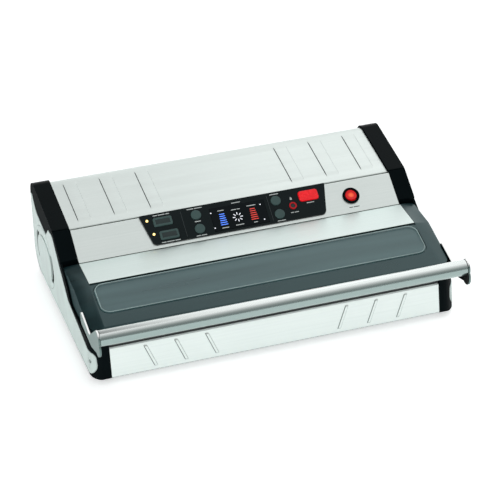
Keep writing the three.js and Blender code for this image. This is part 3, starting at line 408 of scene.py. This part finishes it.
def scaled(corners):
    """A rounded outline from corners in millimetres."""
    return rounded([tuple(value * MM for value in corner) for corner in corners])


def bent_path(corners, step=5):
    """An open line through corners (u, v, radius), with its bends as arcs."""
    spots = [Vector(c[:2]) for c in corners]
    points = [spots[0]]
    for i in range(1, len(spots) - 1):
        points += arc_corner(spots[i - 1], spots[i], spots[i + 1], corners[i][2], step)
    return [*points, spots[-1]]


def rounded_box(width, height, radius, margin=0.0):
    """A rounded rectangle about its own middle, made larger by a margin."""
    u, v, r = width / 2 + margin, height / 2 + margin, max(radius + margin, 0.05 * MM)
    return rounded([(-u, -v, r), (u, -v, r), (u, v, r), (-u, v, r)])


def circle(radius, count=48):
    angles = [math.tau * i / count for i in range(count)]
    return [Vector((radius * math.cos(a), radius * math.sin(a))) for a in angles]


def add_object(name, data):
    """A new object in the scene with a mesh, light or camera as its data."""
    thing = bpy.data.objects.new(name, data)
    bpy.context.scene.collection.objects.link(thing)
    return thing


def new_piece(name, mesh, material, body):
    """A visible piece of one material that rides on a body."""
    piece = add_object(name, mesh)
    mesh.materials.append(material)
    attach(piece, body)
    return piece


def ring_vertices(bm, outline, height, place):
    return [bm.verts.new(place @ Vector((p.x, p.y, height))) for p in outline]


def join_rings(bm, loops):
    """Joins each ring of vertices to the next one with a band of faces."""
    count = len(loops[0])
    for low, high in zip(loops, loops[1:]):
        for i in range(count):
            j = (i + 1) % count
            bm.faces.new((low[i], low[j], high[j], high[i]))


def add_loft(bm, rings, place=Matrix.Identity(4)):
    """Adds a closed body through rings of equal numbers of points, each ring an (outline, height)."""
    loops = [ring_vertices(bm, outline, height, place) for outline, height in rings]
    join_rings(bm, loops)
    bm.faces.new(reversed(loops[0]))
    bm.faces.new(loops[-1])


def to_mesh(name, bm, smooth_below=None):
    """Finishes a bmesh; edges that bend by less than an angle in degrees are shaded smooth."""
    bmesh.ops.recalc_face_normals(bm, faces=bm.faces)
    mesh = bpy.data.meshes.new(name)
    bm.to_mesh(mesh)
    bm.free()
    if smooth_below:
        mesh.shade_smooth()
        mesh.set_sharp_from_angle(angle=math.radians(smooth_below))
    return mesh


def loft(name, rings, material, body, place=Matrix.Identity(4), smooth_below=40):
    """A lofted body as a piece of its own."""
    bm = bmesh.new()
    add_loft(bm, rings, place)
    return new_piece(name, to_mesh(name, bm, smooth_below), material, body)


def soften(piece, width, segments=2):
    """Rounds a piece's hard edges by a small radius and shades its curved faces smooth."""
    mesh = piece.data
    if "custom_normal" in mesh.attributes:
        mesh.attributes.remove(mesh.attributes["custom_normal"])
    mesh.shade_smooth()
    weld = piece.modifiers.new("weld", "WELD")
    weld.merge_threshold = 0.01 * MM
    flat = piece.modifiers.new("flat", "DECIMATE")
    flat.decimate_type = "DISSOLVE"
    flat.angle_limit = math.radians(0.5)
    edge = piece.modifiers.new("edge", "BEVEL")
    edge.width = width
    edge.segments = segments
    edge.limit_method = "ANGLE"
    edge.angle_limit = math.radians(32)
    normals = piece.modifiers.new("normals", "WEIGHTED_NORMAL")
    normals.weight = 60
    normals.keep_sharp = True


def pressed_sheet(node, path, foot, along, rows, columns, shift, height):
    """A bent sheet with pressed shapes, in place of a CAD node.

    path is the side view of its outer face. Its longest stretch is flat, from foot in the direction
    along, and gets extra grid lines at rows. shift moves a grid line sideways and height presses the
    face outwards.
    """
    longest = max(range(len(path) - 1), key=lambda i: (path[i + 1] - path[i]).length)
    points = path[: longest + 1] + [foot + along * s for s in rows] + path[longest + 1 :]
    bm = bmesh.new()
    faces = {"outer": [], "inner": []}
    for i, point in enumerate(points):
        tangent = points[min(i + 1, len(points) - 1)] - points[max(i - 1, 0)]
        normal = Vector((-tangent.y, tangent.x)).normalized()
        s = (point - foot).dot(along)
        is_flat = abs((point - foot).cross(along)) < 0.1 * MM
        outer, inner = [], []
        for x in columns:
            rise = height(x, s) if is_flat else 0.0
            outer.append(bm.verts.new((x + shift(x, s), *(point + normal * rise))))
            inner.append(bm.verts.new((x + shift(x, s), *(point - normal * SHEET))))
        faces["outer"].append(outer)
        faces["inner"].append(inner)
    for grid in faces.values():
        for low, high in zip(grid, grid[1:]):
            for i in range(len(columns) - 1):
                bm.faces.new((low[i], low[i + 1], high[i + 1], high[i]))
    outer, inner = faces["outer"], faces["inner"]
    for i in range(len(columns) - 1):
        for end in (0, -1):
            bm.faces.new((outer[end][i], outer[end][i + 1], inner[end][i + 1], inner[end][i]))
    for i in range(len(points) - 1):
        for end in (0, -1):
            bm.faces.new((outer[i][end], outer[i + 1][end], inner[i + 1][end], inner[i][end]))
    piece = new_piece(f"{node}_sheet", to_mesh(node, bm, smooth_below=50), steel, "housing")
    normals = piece.modifiers.new("normals", "WEIGHTED_NORMAL")
    normals.keep_sharp = True
    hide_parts(node)


def step_up(value, edge, width):
    """0 below an edge and 1 above it, with a smooth ramp of a width between."""
    t = min(max((value - edge) / width + 0.5, 0.0), 1.0)
    return t * t * (3 - 2 * t)


def ramp_lines(edge, width, count=4):
    """Grid lines across a ramp."""
    return [edge + width * (i / count - 0.5) for i in range(count + 1)]


# ---------------------------------------------------------------- places taken from the CAD
def console_frame():
    """The sloping console's own frame: x, up the slope, and out of it."""
    out = -Vector(joints["cancel_press"]["axis"])
    turn = Matrix.Rotation(math.atan2(-out.y, out.z), 4, "X")
    points = [turn.inverted() @ v.co for v in nodes["keypad_panel"].data.vertices]
    foot = Vector((0, min(p.y for p in points), min(p.z for p in points)))
    return Matrix.Translation(turn @ foot) @ turn


console = console_frame()


def console_box(name):
    """(lowest corner, highest corner) of a CAD node in the console's frame."""
    inverse = console.inverted()
    points = [inverse @ v.co for v in nodes[name].data.vertices]
    return Vector(map(min, zip(*points))), Vector(map(max, zip(*points)))


def middle(box):
    return (box[0] + box[1]) / 2


# ---------------------------------------------------------------- materials
steel = brushed_steel("steel", "e6eeeb", "dae3e0", 0.34)
bright_steel = brushed_steel("bright_steel", "e6f2ef", "dae7e4", 0.33)
tube_steel = tube_metal("tube_steel")
arm_with_painted_light = arm_steel("arm_steel")
side_plastic = moulded("side_plastic", "becdc9", 0.42, edge_highlight_colour="dbe4e1")
trim_plastic = glossy("gloss_black", "04090b", 0.16, edge_highlight_colour="14181a", shine=0.045, side_roughness=0.75)
keypad_black = glossy("keypad_black", "0a0e10", 0.2, shine=0.2)
lid_plastic = lid_shell("lid_plastic")
window = smoked_window("smoked_window")
# The window's rim is coloured pale: a painted highlight along the window's edge.
window_rim_painted_highlight = glossy("window_rim_painted_highlight", "93a8a7", 0.2)
deck_plastic = moulded("deck_plastic", "141b1d", 0.45, edge_highlight_colour="2c3032")
silicone = moulded("silicone", "8a2f26", 0.6, pitch=500)
foam_gasket = foam("foam_gasket", "1d1f20")
foot_rubber = rubber("foot_rubber", "121212")
anodised = brushed_steel("seal_aluminium", "c9cdd0", "b2b8bb", 0.4, grain=(8, 500, 500))
tape = woven_tape("ptfe_tape")
key_grey = moulded("key_grey", "405856", 0.42, pitch=2200, edge_highlight_colour="6c8481", sockets={"Specular IOR Level": 0.3})
key_dark = moulded("key_dark", "2a3737", 0.4, pitch=2200, sockets={"Specular IOR Level": 0.3})
# The red key has no lamp behind it: its glow is painted light.
key_red = lit("key_red", "e90f1c", 0.34, coat=0.15)
port_red = glossy("port_red", "b5121b", 0.25, shine=0.3)
display_glass = glossy("display_glass", "06070b", 0.06, shine=0.15)
board_green = circuit_board("circuit_board")
copper = wound_copper("copper")
motor_steel = brushed_steel("motor_steel", "a9aeb1", "8b9194", 0.45, grain=(90, 90, 90))
nylon = moulded("nylon", "d6d3c8", 0.5)
lamp_yellow = lit("lamp_yellow", "ffe08a", 2.2)
screw_steel = brushed_steel("screw_steel", "b8bdbf", "8f9597", 0.3, grain=(400, 400, 400))
print_white = moulded("print_white", "ccd4d2", 0.5)
print_grey = moulded("print_grey", "3a4244", 0.5)
glow_white = lit("glow_white", "f4f7ff", 0.7)
glow_blue = lit("glow_blue", "4f86ff", 0.75)
glow_red = lit("glow_red", "d8382c", 0.6)
rocker_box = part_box("switch_rocker")
rocker_red = rocker_lens("lamp_red", middle(rocker_box), (rocker_box[1].x - rocker_box[0].x) / 2)

# Each kept CAD node: its material and the radius of its edges in millimetres.
FINISHES = {
    "control_fascia": (steel, 0.3),
    "base_pan": (steel, 0.3),
    "rear_panel": (steel, 0.2),
    "lid_strip": (bright_steel, 0.3),
    "right_trim": (trim_plastic, 0.8),
    "left_trim": (trim_plastic, 0.8),
    "right_side_panel": (side_plastic, 0.9),
    "left_side_panel": (side_plastic, 0.9),
    "right_vent_cover": (side_plastic, 0.6),
    "left_vent_cover": (side_plastic, 0.6),
    "keypad_panel": (keypad_black, 0.35),
    "display_window": (display_glass, 0.25),
    "switch_bezel": (trim_plastic, 0.5),
    "switch_rocker": (rocker_red, 0.5),
    "accessory_port": (port_red, 0.5),
    "mode_lamp": (lamp_yellow, 0.4),
    "start_lamp": (lamp_yellow, 0.4),
    "display_board": (board_green, 0.1),
    "power_inlet": (trim_plastic, 0.4),
    "front_left_foot": (foot_rubber, 0.6),
    "front_right_foot": (foot_rubber, 0.6),
    "rear_left_foot": (foot_rubber, 0.6),
    "rear_right_foot": (foot_rubber, 0.6),
    "deck": (deck_plastic, 0.4),
    "lower_gasket": (foam_gasket, 0.8),
    "drip_tray": (deck_plastic, 0.3),
    "seal_bar": (anodised, 0.4),
    "heating_wire": (bright_steel, 0.05),
    "ptfe_tape": (tape, 0.05),
    "lid_frame": (lid_plastic, 0.9),
    "lid_window": (window, 0.8),
    "lid_gasket": (foam_gasket, 0.8),
    "pressure_strip": (silicone, 0.8),
    "right_hinge_bracket": (motor_steel, 0.3),
    "left_hinge_bracket": (motor_steel, 0.3),
    "right_hinge_pin": (bright_steel, 0.2),
    "left_hinge_pin": (bright_steel, 0.2),
    "right_handle_arm": (arm_with_painted_light, 0.35),
    "left_handle_arm": (arm_with_painted_light, 0.35),
    "right_pump_head": (nylon, 0.8),
    "left_pump_head": (nylon, 0.8),
    "right_pump_motor": (motor_steel, 0.6),
    "left_pump_motor": (motor_steel, 0.6),
    "solenoid_valve": (motor_steel, 0.5),
    "right_pump_hose": (foot_rubber, 0.2),
    "left_pump_hose": (foot_rubber, 0.2),
    "transformer": (copper, 0.5),
    "power_board": (board_green, 0.3),
    "fan_frame": (deck_plastic, 0.4),
    "fan_rotor": (deck_plastic, 0.3),
}
for name, (material, edge) in FINISHES.items():
    nodes[name].data.materials.clear()
    nodes[name].data.materials.append(material)
    soften(nodes[name], edge * MM)


# ---------------------------------------------------------------- steel sheets with pressed shapes
def between(value, middle_value, half, ramp):
    """1 within half of a middle value and 0 outside, with smooth ramps."""
    return step_up(value, middle_value - half, ramp) * step_up(-value, -middle_value - half, ramp)


def pressed_columns(low, high, middles, half, ramp, extra=()):
    columns = {low, high, 0.0, *extra}
    for x in middles:
        columns.update(ramp_lines(x - half, ramp) + ramp_lines(x + half, ramp))
    return sorted(columns)


def top_cover():
    """The cover's sheet, with two groups of three raised pads that fade out towards both ends."""
    low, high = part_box("top_cover")
    slope = math.radians(9)
    along = Vector((math.cos(slope), math.sin(slope)))
    seam = Vector((low.y + 0.6 * MM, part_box("control_fascia")[1].z))
    crest = seam + along * (high.y - seam.x) / along.x
    flange = seam + Vector((1.5 * MM, -9 * MM))
    rear = (high.y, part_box("rear_panel")[1].z + 0.4 * MM)
    path = bent_path([flange, (*seam, 1.6 * MM), (*crest, 20 * MM), rear])
    pads = [side * x * MM for side in (-1, 1) for x in (95.5, 143.5, 191.5)]
    half, ramp = 8.5 * MM, 1.0 * MM
    start, end, fade = 16 * MM, 88 * MM, 11 * MM

    def height(x, s):
        rise = max(between(x, pad, half, ramp) for pad in pads)
        return 0.8 * MM * rise * between(s, (start + end) / 2, (end - start) / 2, fade)

    rows = ramp_lines(start, fade, 8) + ramp_lines(end, fade, 8)
    columns = pressed_columns(low.x, high.x, pads, half, ramp)
    pressed_sheet("top_cover", path, seam, along, rows, columns, lambda x, s: 0.0, height)


def front_panel():
    """The front sheet with two groups of three slanted beads; the grid leans with the beads."""
    low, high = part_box("front_panel")
    foot = Vector((low.y, low.z))
    lean = math.radians(7.7)
    head = Vector((foot.x + (high.z - low.z) * math.tan(lean), high.z))
    along = (head - foot).normalized()
    path = bent_path(
        [
            (foot.x + 7.4 * MM, foot.y),
            (*foot, 2.4 * MM),
            (*head, 2.4 * MM),
            (head.x + 12 * MM, head.y),
        ]
    )
    beads = [side * x * MM for side in (-1, 1) for x in (77, 116.5, 155.5)]
    half, ramp = 1.9 * MM, 1.2 * MM
    start, end, fade = 7 * MM, 36 * MM, 2.4 * MM

    def shift(x, s):
        slanted = between(abs(x), 117 * MM, 70 * MM, 50 * MM)
        return math.copysign(0.4, x) * slanted * min(max(s, 2 * MM), 40 * MM)

    def height(x, s):
        rise = max(between(x, bead, half, ramp) for bead in beads)
        return 0.9 * MM * rise * between(s, (start + end) / 2, (end - start) / 2, fade)

    rows = ramp_lines(start, fade) + [14 * MM, 21 * MM, 28 * MM] + ramp_lines(end, fade)
    ramps = (22, 34, 47, 60, 72, 96, 136, 162, 175, 187, 200, 212)
    extra = [side * x * MM for side in (-1, 1) for x in ramps]
    columns = pressed_columns(low.x, high.x, beads, half, ramp, extra)
    pressed_sheet("front_panel", path, foot, along, rows, columns, shift, height)


top_cover()
front_panel()


# ---------------------------------------------------------------- handle tube
def handle_tube():
    low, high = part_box("handle_bar")
    radius = (high.z - low.z) / 2
    centre = middle((low, high))
    turn = Matrix(((0, 0, 1, 0), (1, 0, 0, centre.y), (0, 1, 0, centre.z), (0, 0, 0, 1)))
    lip = 0.5 * MM
    rings = [
        (circle(radius - lip, 96), low.x),
        (circle(radius - 0.15 * lip, 96), low.x + 0.3 * lip),
        (circle(radius, 96), low.x + lip),
        (circle(radius, 96), high.x - lip),
        (circle(radius - 0.15 * lip, 96), high.x - 0.3 * lip),
        (circle(radius - lip, 96), high.x),
    ]
    tube = loft("handle_tube", rings, tube_steel, "lid", turn, smooth_below=60)
    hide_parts("handle_bar")


handle_tube()


# ---------------------------------------------------------------- window rim
def window_rim():
    """The window's edge: a low glossy bead all the way round, coloured pale as a painted highlight."""
    points = [v.co for v in nodes["lid_window"].data.vertices]
    back = max(points, key=lambda p: p.z)
    front = min(points, key=lambda p: p.y)
    slope = math.atan2(back.z - front.z, back.y - front.y)
    turn = Matrix.Rotation(slope, 4, "X")
    flat = [turn.inverted() @ p for p in points]
    top = max(p.z for p in flat)
    near, far = min(p.y for p in flat), max(p.y for p in flat)
    half = max(p.x for p in flat)
    bead = [(-1.7, 0.0), (-1.9, 0.25), (-2.3, 0.4), (-2.7, 0.25), (-2.9, 0.0)]
    corner = 14 * MM
    rings = [rounded_box(2 * half, far - near, corner, m * MM) for m, _ in bead]
    place = turn @ Matrix.Translation((0, (near + far) / 2, top))
    bm = bmesh.new()
    loops = [ring_vertices(bm, ring, z * MM, place) for ring, (_, z) in zip(rings, bead)]
    join_rings(bm, [*loops, loops[0]])
    new_piece("window_rim", to_mesh("window_rim", bm, smooth_below=60), window_rim_painted_highlight, "lid")


window_rim()


# ---------------------------------------------------------------- keys
FLANGE = 1.3 * MM  # how far a key's hidden flange stands out around its cap


def key_cap(name):
    """A key cap: round and red ones are domed, the others have a raised rim around a dark pad."""
    low, high = console_box(name)
    centre = middle((low, high))
    width = high.x - low.x - 2 * FLANGE
    height = high.y - low.y - 2 * FLANGE
    is_round = abs(width - height) < 0.5 * MM
    red = name == "cancel_button"
    corner = 3.5 * MM if red else 2.5 * MM
    stem = -0.75 * min(width, height) / 2  # margin of the narrow stem behind the flange

    def outline(margin):
        if is_round:
            return circle(width / 2 + margin)
        return rounded_box(width, height, corner, margin)

    top, back = high.z, low.z
    face = back + 2.6 * MM
    rings = [(stem, back), (stem, face - 0.8 * MM)]
    rings += [(FLANGE, face - 0.8 * MM), (FLANGE, face), (0, face)]
    rings += [(0, top - 0.7 * MM), (-0.2 * MM, top - 0.2 * MM)]
    if is_round:
        rings += [(-0.7 * MM, top - 0.02 * MM), (-2.0 * MM, top), (-4.5 * MM, top - 0.05 * MM)]
    elif red:
        rings += [(-0.7 * MM, top - 0.02 * MM), (-1.6 * MM, top)]
    else:
        rings += [(-0.6 * MM, top), (-2.6 * MM, top), (-2.9 * MM, top - 0.4 * MM)]
        pad = [(outline(-2.95 * MM), top - 0.4 * MM), (outline(-3.2 * MM), top - 0.3 * MM)]
    place = console @ Matrix.Translation((centre.x, centre.y, 0))
    material = key_red if red else key_grey
    cap = loft(f"{name}_cap", [(outline(m), z) for m, z in rings], material, name, place, smooth_below=50)
    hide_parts(name)
    if not is_round and not red:
        loft(f"{name}_pad", pad, key_dark, name, place)


for key in KEYS:
    key_cap(key)


# ---------------------------------------------------------------- printing on the keypad and the display
PRINT = 0.04 * MM  # thickness of the ink


def printed(name, shapes, material, level):
    """Flat printed shapes on the console; each is an (outline, x, s) and level is what they lie on."""
    bm = bmesh.new()
    for outline, x, s in shapes:
        place = console @ Matrix.Translation((x, s, level))
        add_loft(bm, [(outline, 0.0), (outline, PRINT)], place)
    return new_piece(name, to_mesh(name, bm), material, "housing")


def dashes(x, s, lengths, height=1.1):
    """A row of dashes about a middle, where a label would be; sizes are in millimetres."""
    space = 0.9
    total = sum(lengths) + space * (len(lengths) - 1)
    shapes, left = [], x - total / 2
    for length in lengths:
        shapes.append((rounded_box(length * MM, height * MM, 0.3 * MM), (left + length / 2) * MM, s * MM))
        left += length + space
    return shapes


def at(name):
    """The middle of a node on the console in millimetres, as (x, s)."""
    spot = middle(console_box(name)) / MM
    return spot.x, spot.y


def keypad_printing():
    """Dashes where the keys' labels are, a jar for the canister port, and two dividing lines."""
    low, high = console_box("keypad_panel")
    level = high.z
    shapes = []
    for name, rise, lengths in (
        ("mode_button", 9.6, (6, 9, 5)),
        ("start_button", -9.6, (6, 10, 7)),
        ("pulse_button", 9.4, (9, 10)),
        ("pulse_button", -9.3, (8,)),
        ("seal_button", -9.4, (6, 7)),
        ("food_button", 9.4, (12,)),
        ("marinate_button", -9.4, (11,)),
        ("accessory_port", -9.4, (4, 6)),
        ("cancel_button", -10.4, (10,)),
    ):
        x, s = at(name)
        shapes += dashes(x, s + rise, lengths)
    x, s = at("display_window")
    shapes += dashes(x, s + 19.2, (12,))
    printed("keypad_labels", shapes, print_white, level)

    port_x, port_s = at("accessory_port")
    jar = scaled([(-1.4, -1.6, 0.5), (1.4, -1.6, 0.5), (1.4, 0.9, 0.3), (-1.4, 0.9, 0.3)])
    neck = scaled([(-0.8, 1.3), (0.8, 1.3), (0.8, 2.2), (-0.8, 2.2)])
    mark = [(outline, port_x * MM, (port_s + 10.4) * MM) for outline in (jar, neck)]
    printed("port_valve", [(circle(2.8 * MM), port_x * MM, port_s * MM)], key_dark, level + 0.3 * MM)
    printed("canister_mark", mark, print_white, level)

    divider = rounded_box(0.35 * MM, (high.y - low.y) * 0.84, 0.1 * MM)
    lines = [(divider, x * MM, middle((low, high)).y) for x in (-71, 44.5)]
    printed("keypad_lines", lines, print_grey, level)

    low, high = console_box("switch_bezel")
    power = dashes(middle((low, high)).x / MM, low.y / MM - 5, (5, 8))
    printed("power_label", power, print_grey, console_box("control_fascia")[1].z)


def display_graphics():
    """Two columns of glowing bars, a burst of rays, four dots, and dashes for the labels."""
    low, high = console_box("display_window")
    level = high.z
    centre = middle((low, high)) / MM
    columns = {"glow_bars_blue": (-22.3, glow_blue), "glow_bars_red": (18.8, glow_red)}
    for name, (offset, material) in columns.items():
        bars = []
        for i in range(6):
            bar = rounded_box((9.6 - 0.5 * i) * MM, 1.2 * MM, 0.4 * MM)
            bars.append((bar, (centre.x + offset) * MM, (centre.y - 8.6 + 3.0 * i) * MM))
        printed(name, bars, material, level)

    burst = []
    for i in range(8):
        turn = Matrix.Rotation(math.tau * i / 8, 2)
        ray = scaled([(-0.35, 3.2, 0.1), (0.35, 3.2, 0.1), (0.6, 6.6, 0.4), (-0.6, 6.6, 0.4)])
        burst.append(([turn @ p for p in ray], (centre.x - 2.6) * MM, (centre.y - 1.4) * MM))
    for side in (-1, 1):
        x = (centre.x + side * 33.2 - 2.6) * MM
        burst += [(circle(0.85 * MM, 24), x, (centre.y + s) * MM) for s in (10.2, -11.4)]
    printed("glow_burst", burst, glow_white, level)

    labels = []
    for x, rise, lengths in (
        (-22.5, 11.6, (8.5,)),
        (-3, 9.6, (7, 4)),
        (18.5, 11.2, (12,)),
        (-22, -13.2, (9,)),
        (-2.6, -12.6, (11,)),
        (18.5, -13, (5,)),
    ):
        labels += dashes(centre.x + x, centre.y + rise, lengths)
    printed("display_labels", labels, print_white, level)


keypad_printing()
display_graphics()


# ---------------------------------------------------------------- screws
def screw_mesh(radius, drop):
    """A domed head with a cross recess and a short shank, along +Z from its seat at the origin."""
    bm = bmesh.new()
    profile = [(0.55, -drop), (0.55, 0), (1, 0), (1, 0.18), (0.9, 0.38), (0.68, 0.52), (0.4, 0.6)]
    rings = [(circle(radius * r, 32), z if z <= 0 else radius * z) for r, z in profile]
    add_loft(bm, rings)
    head = to_mesh("screw_head", bm, smooth_below=60)
    bm = bmesh.new()
    for turn in (0, math.pi / 2):
        slot = rounded_box(radius * 1.05, radius * 0.24, radius * 0.05)
        add_loft(bm, [(slot, radius * 0.25), (slot, radius)], Matrix.Rotation(turn, 4, "Z"))
    recess = to_mesh("screw_recess", bm)
    body, cutter = (add_object(m.name, m) for m in (head, recess))
    cut = body.modifiers.new("cut", "BOOLEAN")
    cut.operation = "DIFFERENCE"
    cut.object = cutter
    cut.use_self = True
    bpy.context.view_layer.update()
    finished = bpy.data.meshes.new_from_object(body.evaluated_get(bpy.context.evaluated_depsgraph_get()))
    for thing in (body, cutter):
        bpy.data.objects.remove(thing)
    finished.materials.clear()
    finished.materials.append(screw_steel)
    return finished


SCREW = screw_mesh(2.6 * MM, 0.8 * MM)


def add_screw(name, spot, out, body="housing"):
    """Places a screw with its seat at a spot, its head pointing out."""
    screw = add_object(name, SCREW)
    turn = Vector((0, 0, 1)).rotation_difference(Vector(out)).to_matrix().to_4x4()
    screw.matrix_world = Matrix.Translation(spot) @ turn
    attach(screw, body)


def add_screws():
    """Screws in the rear panel, the base pan, the mains inlet and the hinge brackets."""
    low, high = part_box("rear_panel")
    for i, x in enumerate((-0.47, -0.15, 0.15, 0.47)):
        for j, z in enumerate((low.z + 5 * MM, high.z - 5 * MM)):
            add_screw(f"rear_screw_{i}_{j}", (x * (high.x - low.x), high.y, z), (0, 1, 0))
    low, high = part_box("base_pan")
    for i, x in enumerate((-0.42, -0.14, 0.14, 0.42)):
        for j, y in enumerate((low.y + 12 * MM, high.y - 45 * MM)):
            add_screw(f"base_screw_{i}_{j}", (x * (high.x - low.x), y, low.z), (0, 0, -1))
    low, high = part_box("power_inlet")
    centre = middle((low, high))
    for side in (-1, 1):
        spot = (centre.x + side * 20 * MM, high.y - 1.6 * MM, centre.z)
        add_screw(f"inlet_screw_{side + 1}", spot, (0, 1, 0))
    for side in ("left", "right"):
        low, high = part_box(f"{side}_hinge_bracket")
        for i, x in enumerate((low.x + 2 * MM, high.x - 2 * MM)):
            add_screw(f"{side}_hinge_screw_{i}", (x, high.y - 3.2 * MM, low.z + 2.6 * MM), (0, 0, 1))


add_screws()


# ---------------------------------------------------------------- stage, lights and camera
def add_floor():
    """A plain pale floor that glows a little, so that it stays near white."""
    s = Shader("floor", {"Emission Color": srgb("f6f8f8"), "Emission Strength": 0.56})
    cloud = s.noise(1.2, detail=2)
    s.drive("Base Color", s.mix(cloud, srgb("f2f4f4"), srgb("f8f9f9")))
    s.drive("Roughness", s.remap(cloud, 0.3, 0.7, 0.55, 0.65))
    mesh = bpy.data.meshes.new("floor")
    reach = 12.0
    corners = [(x * reach, y * reach, 0) for x, y in ((-1, -1), (1, -1), (1, 1), (-1, 1))]
    mesh.from_pydata(corners, [], [(0, 1, 2, 3)])
    mesh.materials.append(s.material)
    floor = add_object("floor", mesh)


def add_light(name, spot, target, size, power):
    """A square soft box, with its side in metres and its power in watts."""
    data = bpy.data.lights.new(name, "AREA")
    data.size = size
    data.energy = power
    light = add_object(name, data)
    light.location = spot
    light.rotation_euler = (Vector(target) - Vector(spot)).to_track_quat("-Z", "Y").to_euler()


def add_world():
    """A pale studio, darker in front and with a dark gap high at the back left.

    The gap is fitted to the photo's side. Seen from the front right, the top steel mirrors it and
    looks dark grey.
    """
    world = bpy.data.worlds.new("studio")
    world.use_nodes = True
    tree = world.node_tree
    split = tree.nodes.new("ShaderNodeSeparateXYZ")
    tree.links.new(tree.nodes.new("ShaderNodeTexCoord").outputs["Generated"], split.inputs["Vector"])

    def ramp(axis, low, high, to_low, to_high):
        node = tree.nodes.new("ShaderNodeMapRange")
        tree.links.new(split.outputs[axis], node.inputs["Value"])
        for name, number in zip(("From Min", "From Max", "To Min", "To Max"), (low, high, to_low, to_high)):
            node.inputs[name].default_value = number
        return node.outputs["Result"]

    def combine(operation, a, b):
        node = tree.nodes.new("ShaderNodeMath")
        node.operation = operation
        tree.links.new(a, node.inputs[0])
        tree.links.new(b, node.inputs[1])
        return node.outputs["Value"]

    gap_level, front_level, back_level = 0.08, 0.45, 1.05
    right_or_low = combine("MAXIMUM", ramp("X", 0.0, 0.14, gap_level, 1.0), ramp("Z", 0.35, 0.15, 0.0, 1.0))
    outside_gap = combine("MAXIMUM", right_or_low, ramp("Y", 0.15, -0.1, 0.0, 1.0))
    level = combine("MULTIPLY", ramp("Y", -0.8, 0.1, front_level, back_level), outside_gap)
    tree.links.new(level, tree.nodes["Background"].inputs["Color"])
    bpy.context.scene.world = world


def add_camera():
    """The pinhole camera that was fitted to the photo's straight edges."""
    data = bpy.data.cameras.new("camera")
    data.sensor_width = 36
    data.lens = 158.8
    camera = add_object("camera", data)
    yaw, pitch, roll = (math.radians(a) for a in (-17.31, -31.0, -1.53))
    aim = Matrix.Rotation(yaw, 4, "Z") @ Matrix.Rotation(math.pi / 2 + pitch, 4, "X")
    turn = aim @ Matrix.Rotation(roll, 4, "Z")
    place = Vector((-0.71283, -2.30675, 1.52221))
    camera.matrix_world = Matrix.Translation(place) @ turn
    bpy.context.scene.camera = camera


add_floor()
TARGET = (0, 0, 0.05)  # both lights point near the object's middle
add_light("key", (1.0, 1.75, 1.9), TARGET, 0.8, 0.5)
add_light("fill", (-1.9, -1.3, 0.8), TARGET, 1.4, 16)
add_world()
add_camera()
bpy.context.scene.view_settings.view_transform = "Standard"
